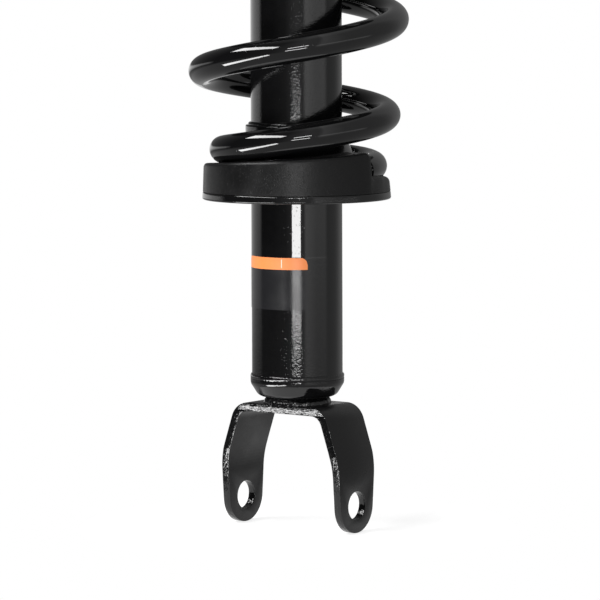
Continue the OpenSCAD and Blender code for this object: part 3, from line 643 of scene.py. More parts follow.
def mesh_of(name, verts, faces):
    """A mesh of points and faces, with its doubles merged."""
    mesh = bpy.data.meshes.new(name)
    mesh.from_pydata([tuple(v) for v in verts], [], faces)
    bm = bmesh.new()
    bm.from_mesh(mesh)
    bmesh.ops.remove_doubles(bm, verts=bm.verts, dist=1e-7)
    loose = [e for e in bm.edges if not e.link_faces]
    bmesh.ops.delete(bm, geom=loose, context="EDGES")
    bmesh.ops.recalc_face_normals(bm, faces=bm.faces)
    bm.to_mesh(mesh)
    bm.free()
    return mesh


def arc(centre, radius, start, end, steps):
    """Points on an arc, with the angles in degrees."""
    return [
        (
            centre[0] + radius * math.cos(math.radians(start + (end - start) * i / steps)),
            centre[1] + radius * math.sin(math.radians(start + (end - start) * i / steps)),
        )
        for i in range(steps + 1)
    ]


def circle(centre, radius, sides):
    """Points of a closed circle, or of a regular polygon."""
    return arc(centre, radius, 0, 360 - 360 / sides, sides - 1)


def at_height(z):
    """The move that lifts something from the origin to a height."""
    return Matrix.Translation((0, 0, z))


def rounded(corners, steps):
    """A closed outline from (x, y, rounding) corners, each rounding an arc."""
    points = []
    total = len(corners)
    for i, (x, y, radius) in enumerate(corners):
        here = Vector((x, y))
        if radius <= 0:
            points.append((x, y))
            continue
        before = Vector(corners[i - 1][:2]) - here
        after = Vector(corners[(i + 1) % total][:2]) - here
        half = before.angle(after) / 2
        cut = min(radius / math.tan(half), 0.49 * before.length, 0.49 * after.length)
        true_radius = cut * math.tan(half)
        centre = here + (before.normalized() + after.normalized()).normalized() * (
            true_radius / math.sin(half)
        )
        first = here + before.normalized() * cut - centre
        last = here + after.normalized() * cut - centre
        sweep = first.angle_signed(last)
        for k in range(steps + 1):
            turned_by = Matrix.Rotation(-sweep * k / steps, 2)
            points.append(tuple(centre + turned_by @ first))
    return points


def ring_faces(rows, sides, closed_rows=True):
    """Quads over rows of closed sections, the last row joined to the first or not."""
    faces = []
    for i in range(rows if closed_rows else rows - 1):
        for j in range(sides):
            k, m = (i + 1) % rows, (j + 1) % sides
            faces.append((i * sides + j, k * sides + j, k * sides + m, i * sides + m))
    return faces


def held(outline, margin=0.25 * MM):
    """The outline with points near the ends of its long sides, which keep them straight."""
    points = []
    for (x, y), (x2, y2) in zip(outline, outline[1:] + outline[:1]):
        points.append((x, y))
        span = math.hypot(x2 - x, y2 - y)
        if span > 4 * margin:
            for share in (margin / span, 1 - margin / span):
                points.append((x + (x2 - x) * share, y + (y2 - y) * share))
    return points


def turned(name, outline, around=ROUND):
    """A closed (radius, height) outline turned round the Z axis."""
    outline = held(outline)
    verts = [
        polar(max(r, 0.0), 2 * math.pi * i / around, z) for i in range(around) for r, z in outline
    ]
    return mesh_of(name, verts, ring_faces(around, len(outline)))


def turned_piece(name, outline, body, slot, node, around=ROUND, keep_smooth=SMOOTH_ANGLE):
    """A piece made of one turned outline, which stands for one node."""
    return piece(name, turned(name, outline, around), body, slot, [node], keep_smooth)


def joined(name, *meshes):
    """One mesh of several, each a closed shell of its own."""
    bm = bmesh.new()
    for mesh in meshes:
        bm.from_mesh(mesh)
    result = bpy.data.meshes.new(name)
    bm.to_mesh(result)
    bm.free()
    return result


def baked(scratch, name):
    """The mesh of a scratch object after its modifiers, without the object."""
    bpy.context.scene.collection.objects.link(scratch)
    bpy.context.view_layer.update()
    graph = bpy.context.evaluated_depsgraph_get()
    mesh = bpy.data.meshes.new_from_object(scratch.evaluated_get(graph), depsgraph=graph)
    bpy.data.objects.remove(scratch)
    mesh.name = name
    return mesh


def with_modifiers(name, mesh, *steps):
    """The mesh after modifiers, each given as (kind, settings)."""
    scratch = bpy.data.objects.new(name + "_scratch", mesh)
    for kind, settings in steps:
        modifier = scratch.modifiers.new(kind.lower(), kind)
        for key, value in settings.items():
            setattr(modifier, key, value)
    return baked(scratch, name)


def extruded(name, outline, depth, place):
    """A flat outline pushed to a depth on both sides, then moved to its place."""
    sides = len(outline)
    verts = [place @ Vector((x, y, s * depth)) for s in (-1, 1) for x, y in outline]
    faces = [tuple(range(sides)), tuple(range(sides, 2 * sides))]
    faces += [(j, (j + 1) % sides, sides + (j + 1) % sides, sides + j) for j in range(sides)]
    return mesh_of(name, verts, faces)


def cut(name, mesh, tools, operation="DIFFERENCE"):
    """The mesh after each tool mesh is taken away from it, or kept in common with it."""
    scratch = [bpy.data.objects.new("tool", tool) for tool in tools]
    for obj in scratch:
        bpy.context.scene.collection.objects.link(obj)
    steps = [
        ("BOOLEAN", {"object": obj, "operation": operation, "solver": "EXACT"}) for obj in scratch
    ]
    result = with_modifiers(name, mesh, *steps)
    for obj in scratch:
        bpy.data.objects.remove(obj)
    return result


def eased(name, mesh, width):
    """The mesh with its sharp edges rounded."""
    bevel = {
        "width": width,
        "segments": 3,
        "limit_method": "ANGLE",
        "angle_limit": math.radians(35),
        "harden_normals": False,
    }
    return with_modifiers(name, mesh, ("BEVEL", bevel))


# ---------------------------------------------------------------- geometry trees


class Recipe(Tree):
    """A geometry tree with named inputs, run on a scratch object."""

    def __init__(self, name):
        super().__init__(bpy.data.node_groups.new(name, "GeometryNodeTree"))
        self.tree.interface.new_socket(
            "Geometry", in_out="OUTPUT", socket_type="NodeSocketGeometry"
        )
        self.values = {}
        self.entry = self.tree.nodes.new("NodeGroupInput")
        self.exit = self.tree.nodes.new("NodeGroupOutput")

    def ask(self, name, value, kind="NodeSocketFloat"):
        """Adds a named input with its value and returns its socket in the tree."""
        item = self.tree.interface.new_socket(name, in_out="INPUT", socket_type=kind)
        self.values[item.identifier] = value
        return next(s for s in self.entry.outputs if s.identifier == item.identifier)

    def spot(self, x, y, z):
        """A place from its three measures."""
        return self.add("ShaderNodeCombineXYZ", {"X": x, "Y": y, "Z": z}).outputs[0]

    def round_spot(self, radius, turn, z):
        """A place from its radius, its angle and its height."""
        x, y = (self.math("MULTIPLY", radius, self.math(way, turn)) for way in ("COSINE", "SINE"))
        return self.spot(x, y, z)

    def points(self, count, place):
        """A row of points, each at its own place."""
        line = self.add("GeometryNodeMeshLine", {"Count": count}).outputs[0]
        moved = {"Geometry": line, "Position": place}
        return self.add("GeometryNodeSetPosition", moved).outputs[0]

    def path(self, count, place):
        """A curve through a row of points, each at its own place."""
        return self.add("GeometryNodeMeshToCurve", {"Mesh": self.points(count, place)}).outputs[0]

    def upright(self, curve):
        """The curve with its sections held upright along Z."""
        return self.add("GeometryNodeSetCurveNormal", {"Curve": curve}, mode="Z_UP").outputs[0]

    def sweep(self, curve, facets, radius, caps=True, **more):
        """A round section swept along a curve, its ends closed or not."""
        inputs = {"Resolution": facets, "Radius": radius}
        ring = self.add("GeometryNodeCurvePrimitiveCircle", inputs).outputs[0]
        inputs = {"Curve": curve, "Profile Curve": ring, "Fill Caps": caps, **more}
        return self.add("GeometryNodeCurveToMesh", inputs).outputs[0]

    def end(self, geometry, material):
        """Realizes the result and gives it a material."""
        real = self.add("GeometryNodeRealizeInstances", {0: geometry})
        slot = self.ask("Material", material, "NodeSocketMaterial")
        done = self.add("GeometryNodeSetMaterial", {"Geometry": real.outputs[0], "Material": slot})
        self.tree.links.new(done.outputs[0], self.exit.inputs[0])

    def run(self, name):
        """The mesh that the tree makes."""
        scratch = bpy.data.objects.new(name + "_scratch", bpy.data.meshes.new(name + "_seed"))
        modifier = scratch.modifiers.new("recipe", "NODES")
        modifier.node_group = self.tree
        for identifier, value in self.values.items():
            modifier[identifier] = value
        return baked(scratch, name)


def by_steps(tree, where, points):
    """A value that runs straight from point to point of a (place, value) table."""
    parts = []
    for (start, before), (end, after) in zip(points, points[1:]):
        if after != before:
            inputs = {"Value": where, "From Min": start, "From Max": end, "To Max": after - before}
            parts.append(tree.add("ShaderNodeMapRange", inputs).outputs[0])
    return tree.math("ADD", tree.add_up(parts), points[0][1])


def wound_wire(sizes, foot):
    """The spring's wire, wound by the rise and radius that each turn has."""
    recipe = Recipe("wound_wire")
    turns = recipe.ask("Turns", sizes.turns)
    rings = recipe.ask("Rings per Turn", sizes.rings, "NodeSocketInt")
    wire = recipe.ask("Wire Radius", sizes.wire)
    facets = recipe.ask("Facets", sizes.facets, "NodeSocketInt")
    tip = recipe.ask("Tip Angle", sizes.tip_angle)
    start = recipe.ask("Foot Height", foot)

    steps = recipe.math("ROUND", recipe.math("MULTIPLY", turns, rings))
    sweep = recipe.math("SUBTRACT", recipe.math("MULTIPLY", turns, 2 * math.pi), tip)
    arc_step = recipe.math("DIVIDE", sweep, steps)
    index = recipe.add("GeometryNodeInputIndex").outputs[0]
    turned_by = recipe.math("MULTIPLY_ADD", index, arc_step, tip)
    turn_here = recipe.math("DIVIDE", turned_by, 2 * math.pi)
    half_on = recipe.math("DIVIDE", recipe.math("MULTIPLY", arc_step, 0.5), 2 * math.pi)
    turn_between = recipe.math("ADD", turn_here, half_on)

    # Both tables start at the lower tip and give (turns from there, rise per turn or radius).
    last = sizes.turns
    rise = by_steps(
        recipe,
        turn_between,
        [
            (0.62, sizes.end_rise),
            (0.82, sizes.mid_rise),
            (1.1, sizes.mid_rise + 0.5 * MM),
            (2.1, sizes.full_rise),
            (last - 0.85, sizes.full_rise),
            (last - 0.60, sizes.end_rise),
        ],
    )
    radius = by_steps(
        recipe,
        turn_here,
        [
            (0.0, sizes.tip_radius),
            (0.3, sizes.small_radius),
            (0.6, sizes.small_radius),
            (1.1, sizes.full_radius - 5 * MM),
            (1.6, sizes.full_radius - 3 * MM),
            (2.1, sizes.full_radius),
        ],
    )
    climb = recipe.math("DIVIDE", recipe.math("MULTIPLY", rise, arc_step), 2 * math.pi)
    climbed = recipe.add("GeometryNodeAccumulateField", {"Value": climb}).outputs["Trailing"]
    place = recipe.round_spot(radius, turned_by, recipe.math("ADD", start, climbed))
    path = recipe.upright(recipe.path(recipe.math("ADD", steps, 1.0), place))
    swept = recipe.sweep(path, facets, wire)
    recipe.end(swept, finish("spring_paint"))
    return recipe.run("coil_spring_wire")


def bellows(sizes, foot, height, root):
    """The folded middle of the boot: a line whose radius swells once in each fold."""
    recipe = Recipe("bellows")
    folds = recipe.ask("Folds", sizes.folds, "NodeSocketInt")
    depth = recipe.ask("Fold Depth", sizes.fold_depth)
    inner = recipe.ask("Root Radius", root)
    bottom = recipe.ask("Foot Height", foot)
    tall = recipe.ask("Height", height)
    rows_per_fold = 14.0
    fullness = 0.62  # below 1 the crests are broad and the grooves narrow
    rows = recipe.math("MULTIPLY_ADD", folds, rows_per_fold, 1.0)
    index = recipe.add("GeometryNodeInputIndex").outputs[0]
    share = recipe.math("DIVIDE", index, recipe.math("SUBTRACT", rows, 1.0))
    swing = recipe.math("COSINE", recipe.math("DIVIDE", index, rows_per_fold / (2 * math.pi)))
    crest = recipe.math("MULTIPLY_ADD", swing, -0.5, 0.5)
    swell = recipe.math("MULTIPLY_ADD", recipe.math("POWER", crest, fullness), depth, inner)
    place = recipe.spot(0.0, 0.0, recipe.math("MULTIPLY_ADD", share, tall, bottom))
    swept = recipe.sweep(recipe.path(rows, place), 128, 1.0, caps=False, Scale=swell)
    recipe.end(swept, finish("boot_rubber"))
    return recipe.run("boot_folds")


def screw_thread(name, radius, pitch, foot, height, circle_r, copies, slot):
    """A helical ridge, set at each of several places round a circle."""
    recipe = Recipe(name + "_thread")
    crest = recipe.ask("Crest Radius", radius)
    step = recipe.ask("Pitch", pitch)
    tall = recipe.ask("Height", height)
    bottom = recipe.ask("Foot Height", foot)
    ring_radius = recipe.ask("Circle Radius", circle_r)
    number_of = recipe.ask("Copies", copies, "NodeSocketInt")
    tooth = recipe.math("MULTIPLY", step, 0.5)
    middle = recipe.math("SUBTRACT", crest, tooth)
    helix = recipe.add(
        "GeometryNodeCurveSpiral",
        {
            "Resolution": 40,
            "Rotations": recipe.math("DIVIDE", tall, step),
            "Start Radius": middle,
            "End Radius": middle,
            "Height": tall,
            "Reverse": False,
        },
    )
    ridge = recipe.sweep(recipe.upright(helix.outputs[0]), 6, tooth)
    index = recipe.add("GeometryNodeInputIndex").outputs[0]
    apart = recipe.math("DIVIDE", 2 * math.pi, recipe.math("MAXIMUM", number_of, 1.0))
    bearing = recipe.math("MULTIPLY_ADD", index, apart, math.pi / 2)
    spots = recipe.points(number_of, recipe.round_spot(ring_radius, bearing, bottom))
    copied = recipe.add("GeometryNodeInstanceOnPoints", {"Points": spots, "Instance": ridge})
    recipe.end(copied.outputs[0], finish(slot))
    return recipe.run(name + "_ridge")


# ---------------------------------------------------------------- operators


class STRUT_OT_finish_nodes(bpy.types.Operator):
    """Give every carried-over node the finish of its slot"""

    bl_idname = "strut.finish_nodes"
    bl_label = "Finish Nodes"
    bl_options = {"REGISTER", "UNDO"}

    def execute(self, context):
        """Sets one material on each node."""
        for name, node in frame["nodes"].items():
            for slot in node.material_slots:
                slot.material = finish(SLOTS[name])
        return {"FINISHED"}


class STRUT_OT_fork(bpy.types.Operator):
    """Bend the fork's strap, cut its round ears and drill the bolt hole"""

    bl_idname = "strut.fork"
    bl_label = "Fork"
    bl_options = {"REGISTER", "UNDO"}

    def strap(self, s):
        """The strap seen along Y: two ears, two knees and two shoulders."""
        mid_z = s.top - s.thickness / 2
        ear_x = (s.gap + s.thickness) / 2
        shoulder_x = ear_x - (mid_z - s.knee_height) * math.tan(s.lean)
        bend = math.pi / 2 - s.lean
        shoulder = (
            shoulder_x - s.shoulder_radius * math.tan(bend / 2),
            mid_z - s.shoulder_radius,
        )
        knee = (ear_x - s.knee_radius, s.knee_height - s.knee_radius * math.tan(s.lean / 2))
        lean = math.degrees(s.lean)
        sides = []
        for offset in (s.thickness / 2, -s.thickness / 2):
            side = arc(shoulder, s.shoulder_radius + offset, 90, lean, 14)
            side += arc(knee, s.knee_radius + offset, lean, 0, 8)
            side.append((ear_x + offset, -s.ear_radius - s.thickness))
            sides.append(side)
        outer, inner = sides
        return (
            outer
            + inner[::-1]
            + [(-x, z) for x, z in inner]
            + [(-x, z) for x, z in outer[::-1]]
        )

    def face(self, s):
        """The strap seen along X: round ears that widen to the knee."""
        corner = Vector((s.half_width, s.knee_height + s.thickness))
        tangent = math.degrees(
            math.atan2(corner.y, corner.x) - math.acos(s.ear_radius / corner.length)
        )
        over = s.top + s.thickness
        outline = arc((0, 0), s.ear_radius, 180 - tangent, 360 + tangent, 60)
        return outline + [
            (corner.x, corner.y),
            (s.half_width, over),
            (-s.half_width, over),
            (-corner.x, corner.y),
        ]

    def execute(self, context):
        """Makes the fork as one solid and marks its sheared faces."""
        scene = context.scene
        s = scene.strut_fork
        wide, long = s.half_width * 1.2, s.gap
        along_y = Matrix(((1, 0, 0), (0, 0, 1), (0, 1, 0))).to_4x4()
        along_x = Matrix(((0, 0, 1), (1, 0, 0), (0, 1, 0))).to_4x4()
        strap = extruded("fork_strap", held(self.strap(s)), wide, along_y)
        face = extruded("fork_face", self.face(s), long, along_x)
        bolt = extruded("fork_bolt", circle((0, 0), s.hole_radius, 64), long, along_x)
        shaped = cut("fork_shaped", strap, [face], "INTERSECT")
        drilled = cut("fork_drilled", shaped, [bolt])
        mesh = eased("fork", drilled, s.edge)
        mesh.materials.clear()
        mesh.materials.append(finish("satin_black_steel"))
        mesh.materials.append(sheared_edge())
        ear_top = s.knee_height + s.thickness
        # the sheared faces look along Y, or round the ears' ends
        for polygon in mesh.polygons:
            normal, centre = polygon.normal, polygon.center
            on_side = abs(normal.y) > 0.3
            on_ear_end = centre.z < ear_top and abs(normal.x) < 0.75
            polygon.material_index = 1 if on_side or on_ear_end else 0
        piece("fork", mesh, STRUT, "satin_black_steel", ["fork_bracket"], math.radians(25))
        return {"FINISHED"}


class STRUT_OT_damper(bpy.types.Operator):
    """Turn the tube and the base cup"""

    bl_idname = "strut.damper"
    bl_label = "Damper"
    bl_options = {"REGISTER", "UNDO"}

    def execute(self, context):
        """Makes the tube with its rolled lip, and the cup with its boss."""
        scene = context.scene
        s = scene.strut_damper
        r, wall = s.tube_radius, s.tube_wall
        foot, top = low("reserve_tube"), high("reserve_tube")
        tube = rounded(
            [
                (r - wall, foot, 0),
                (r, foot, 0.3 * MM),
                (r, top, wall * 1.1),
                (s.crimp_hole, top, 0.8 * MM),
                (s.crimp_hole, top - wall, 0),
                (r - wall, top - wall, 0),
            ],
            10,
        )
        turned_piece("damper_tube", tube, STRUT, "gloss_black_steel", "reserve_tube", 256)

        cup_foot = low("base_cup")
        cup_r = r + s.cup_proud
        flat = foot - s.cup_round + 0.5 * MM
        cup = rounded(
            [
                (0, cup_foot, 0),
                (s.boss_radius, cup_foot, 0),
                (s.boss_radius, flat - 0.2 * MM, 2.2 * MM),
                (cup_r - s.cup_round * 0.42, flat + 0.6 * MM, 5 * MM),
                (cup_r, foot - s.cup_round * 0.22, 10 * MM),
                (cup_r, foot + 0.4 * MM, 0),
                (0, foot + 0.4 * MM, 0),
            ],
            12,
        )
        turned_piece("base_cup_shell", cup, STRUT, "gloss_black_steel", "base_cup", 256)
        return {"FINISHED"}


class STRUT_OT_welds(bpy.types.Operator):
    """Lay the weld beads with their ripples"""

    bl_idname = "strut.welds"
    bl_label = "Welds"
    bl_options = {"REGISTER", "UNDO"}

    def bead(self, name, radius, height, leg, rise, shape, ripples, lumps, seed, around=420):
        """A bead round the axis whose section swells and sinks along the way.

        The noise is read on circles, and a larger circle gives more and shorter lumps.
        """
        sides = 14
        verts = []
        for i in range(around):
            turn = 2 * math.pi * i / around
            lump = noise.noise(polar(5, turn, seed)) + 0.5 * noise.noise(polar(16, turn, seed))
            ripple = abs(math.sin(turn * ripples / 2))
            size = 1 + lumps * (lump - 0.45 * (1 - ripple))
            drift = 0.5 * lumps * noise.noise(polar(3, turn, seed + 7))
            for j in range(sides):
                x, z = shape((j - 1) / (sides - 2))
                grain = 1 + 0.3 * lumps * noise.noise(polar(40, turn, seed + 0.4 * j))
                out = radius + leg * size * x * grain
                verts.append(polar(out, turn, height + rise * (size * z * grain + drift)))
        return mesh_of(name, verts, ring_faces(around, sides))

    def corner(self, share):
        """A fillet that fills a corner. A share below 0 is its buried heel."""
        if share < 0:
            return -0.4, -0.25
        bow = math.radians(-6 + 102 * share)
        return 1.08 * math.cos(bow), 1.04 * math.sin(bow)

    def swollen(self, share):
        """A low round bead on a wall, whose lower flank runs out. Below 0 is its buried back."""
        if share < 0:
            return -1.5, 0.0
        bow = math.radians(-100 + 200 * share)
        x, z = math.cos(bow), math.sin(bow)
        return (x, z) if z >= 0 else (x * abs(x), 2.2 * math.asin(z) / (math.pi / 2))

    def execute(self, context):
        """Lays the beads at the fork, the tube's foot and the seat's collar."""
        s = context.scene.strut_damper
        boss, tube, ripples = s.boss_radius, s.tube_radius, s.ripples
        fork, base, seat = (high(n) - low(n) for n in ("fork_weld", "base_weld", "seat_weld"))
        middle = (low("base_weld") + high("base_weld")) / 2
        fork_at = boss, low("fork_weld"), 1.1 * fork, 1.6 * fork
        base_at = tube, middle, s.bead_height, base / 2
        seat_at = tube, low("seat_weld"), seat, seat
        for node, *measures in (
            ("fork_weld", *fork_at, self.corner, ripples * 0.5, 0.26, 1.0),
            ("base_weld", *base_at, self.swollen, ripples, 0.16, 11.0),
            ("seat_weld", *seat_at, self.corner, ripples, 0.05, 21.0),
        ):
            name = node + "_bead"
            mesh = self.bead(name, *measures)
            piece(name, mesh, STRUT, "gloss_black_steel", [node], math.radians(60))
        return {"FINISHED"}


class STRUT_OT_seats(bpy.types.Operator):
    """Press both spring seats"""

    bl_idname = "strut.seats"
    bl_label = "Spring Seats"
    bl_options = {"REGISTER", "UNDO"}

    def execute(self, context):
        """Makes the seats with turned rims and drawn crowns."""
        scene = context.scene
        s = scene.strut_seats
        tube = scene.strut_damper.tube_radius
        face = low("lower_insulator")
        rim_r, collar_top = reach("lower_spring_seat"), high("lower_spring_seat")
        collar_foot = collar_top - s.collar
        under = face - s.steel
        lower = rounded(
            [
                (rim_r - s.steel, under, 0.8 * MM),
                (rim_r - s.steel, face - s.rim, 0.5 * MM),
                (rim_r, face - s.rim, s.rim_edge),
                (rim_r - s.flare, face, s.rim_edge),
                (s.crown, face, s.fillet),
                (s.crown - 1.6 * MM, collar_foot - 6 * MM, 14 * MM),
                (tube + s.steel, collar_foot + 3 * MM, 3 * MM),
                (tube + s.steel, collar_top, 1.2 * MM),
                (tube, collar_top, 0),
                (tube, collar_foot - 0.3 * s.steel, 3 * MM),
                (s.crown - 0.9 * s.steel, under, s.fillet + s.steel),
            ],
            8,
        )
        paint, node = "gloss_black_steel", "lower_spring_seat"
        turned_piece("lower_seat_pressing", lower, STRUT, paint, node, 256)

        t = s.top_steel
        face = high("upper_insulator")
        top, edge_r = high("upper_spring_seat"), reach("upper_spring_seat")
        neck = s.riser - 4 * MM
        bore = scene.strut_mount.hat - scene.strut_mount.plate
        upper = rounded(
            [
                (edge_r - t, face - s.top_rim, t * 0.45),
                (edge_r, face - s.top_rim, t * 0.45),
                (edge_r, face + t, 4.5 * MM),
                (s.riser, face + t, 4 * MM),
                (neck, top, 5 * MM),
                (bore, top, 0),
                (bore, top - t, 0),
                (neck - t, top - t, 2.5 * MM),
                (s.riser - t, face, 4 * MM),
                (edge_r - t, face, 2 * MM),
            ],
            8,
        )
        turned_piece("upper_seat_pressing", upper, ROD, paint, "upper_spring_seat", 256)
        return {"FINISHED"}


class STRUT_OT_insulators(bpy.types.Operator):
    """Mould the two rubber rings that the wire rests in"""

    bl_idname = "strut.insulators"
    bl_label = "Insulators"
    bl_options = {"REGISTER", "UNDO"}

    def section(self, s, r_out, r_in, side, top, coil_r, lip, groove, sharp):
        """Outline of the rubber at one angle, with the groove for the wire in its top."""
        face_r = r_out - s.draft
        # the groove's edges, as angles from its lowest line
        outer, inner = (math.acos(1 - h / groove) for h in (lip, s.lip))
        wedge_r = coil_r + groove * math.sin(outer) + 0.15 * MM
        narrow = min(1.0, (lip - s.lip) / MM)
        edge_r = max(face_r - s.edge + narrow * (wedge_r - face_r + s.edge), wedge_r)
        side = min(side, top + lip - 0.1 * MM)
        soft = 0.1 + 0.4 * sharp
        start, end = Vector((face_r, side)), Vector((edge_r, top + lip))
        bend = start + Vector((soft * (end.x - start.x), (1 - soft) * (end.y - start.y)))
        shoulder = [
            tuple(start * (1 - k) ** 2 + bend * (2 * k * (1 - k)) + end * k * k)
            for k in (i / 7 for i in range(8))
        ]
        trough = [
            (coil_r + groove * math.sin(a), top + groove * (1 - math.cos(a)))
            for a in (outer - (outer + inner) * i / 16 for i in range(17))
        ]
        bore = arc((r_in + s.bore_edge, top + s.lip - s.bore_edge), s.bore_edge, 90, 180, 6)
        foot = [(r_in, s.bore_foot), (r_in + s.bore_foot, 0)]
        return [(r_out, 0)] + shoulder + trough + bore + foot

    def ring(self, name, s, r_out, r_in, coil_radius, wire, low_height, tip_lip, rows=300):
        """A ring whose top climbs once round and drops at a step with a round crest."""
        crest = s.step_at + 2 * math.pi - s.step_arc
        first = s.step_at + s.step_foot / r_out
        last = crest - s.step_crest / r_out
        # rows lie closer where the foot and the crest of the step bend
        rounding = [1 - math.cos(math.radians(7.5 * k)) for k in range(12)]
        turns = [s.step_at + k * (first - s.step_at) for k in rounding]
        turns += [first + (last - first) * i / rows for i in range(rows + 1)]
        turns += [crest - k * (crest - last) for k in reversed(rounding)]

        def quarter(r, along):
            """How far a quarter round still has to go at a distance from its start."""
            return r - math.sqrt(r * r - max(0.0, r - along) ** 2)

        verts = []
        for turn in turns:
            share = turn / (2 * math.pi)
            top = low_height + s.rise * share - quarter(s.step_crest, (crest - turn) * r_out)
            lip = s.lip + (tip_lip - s.lip) * max(0.0, 1 - turn / s.tip_lip_arc)
            lift = quarter(s.step_foot, (turn - s.step_at) * r_out)
            side = top + s.lip - s.edge + (lip - s.lip) / 3 + lift
            near_tip = max(0.0, (lip - s.lip) / (s.tip_lip - s.lip)) if tip_lip > s.lip else 0.0
            groove = wire + s.play * (1 - 0.7 * near_tip)
            sharp = max(0.0, 4 * near_tip - 3)
            coil_r = coil_radius(share)
            outline = self.section(s, r_out, r_in, side, top, coil_r, lip, groove, sharp)
            verts += [polar(r, turn, z) for r, z in outline]
        return mesh_of(name, verts, ring_faces(len(turns), len(verts) // len(turns)))

    def execute(self, context):
        """Makes both rings."""
        scene = context.scene
        s, spring = scene.strut_insulators, scene.strut_spring

        def foot_radius(turn):
            """Coil radius where the wire rests on the rubber."""
            near = min(1.0, max(0.0, turn / 0.3))
            return spring.tip_radius + (spring.small_radius - spring.tip_radius) * near

        wire = spring.wire
        radii = reach("lower_insulator"), s.bore, foot_radius
        lower = self.ring("lower_insulator_ring", s, *radii, wire, s.low_height, s.tip_lip)
        lower.transform(at_height(low("lower_insulator")))
        piece("lower_insulator_ring", lower, STRUT, "insulator_rubber", ["lower_insulator"])

        radii = reach("upper_insulator"), s.top_bore, lambda turn: spring.full_radius
        upper = self.ring("upper_insulator_ring", s, *radii, wire, s.top_web, s.lip)
        face = high("upper_insulator")
        step = 2 * math.pi * spring.turns + spring.tip_angle
        flip = Matrix.Rotation(step, 4, "Z") @ Matrix.Diagonal((1, -1, -1, 1))
        upper.transform(at_height(face) @ flip)
        ring = piece("upper_insulator_ring", upper, ROD, "insulator_rubber", ["upper_insulator"])
        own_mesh(ring)
        return {"FINISHED"}


class STRUT_OT_spring(bpy.types.Operator):
    """Wind the coil spring"""

    bl_idname = "strut.spring"
    bl_label = "Spring"
    bl_options = {"REGISTER", "UNDO"}

    def execute(self, context):
        """Winds the wire, eases its cut ends and gives it a mesh of its own."""
        scene = context.scene
        s = scene.strut_spring
        foot = low("lower_insulator") + scene.strut_insulators.low_height + s.wire
        foot += s.end_rise * s.tip_angle / (2 * math.pi)
        wire = wound_wire(s, foot)
        bm = bmesh.new()
        bm.from_mesh(wire)
        caps = [f for f in bm.faces if len(f.verts) > 4]
        rims = list({e for f in caps for e in f.edges})
        bmesh.ops.bevel(bm, geom=rims, offset=s.cut_edge, segments=2, affect="EDGES")
        bm.to_mesh(wire)
        bm.free()
        obj = piece("coil_spring_wire", wire, STRUT, "spring_paint", ["coil_spring"])
        squash_to_stroke(obj)
        return {"FINISHED"}


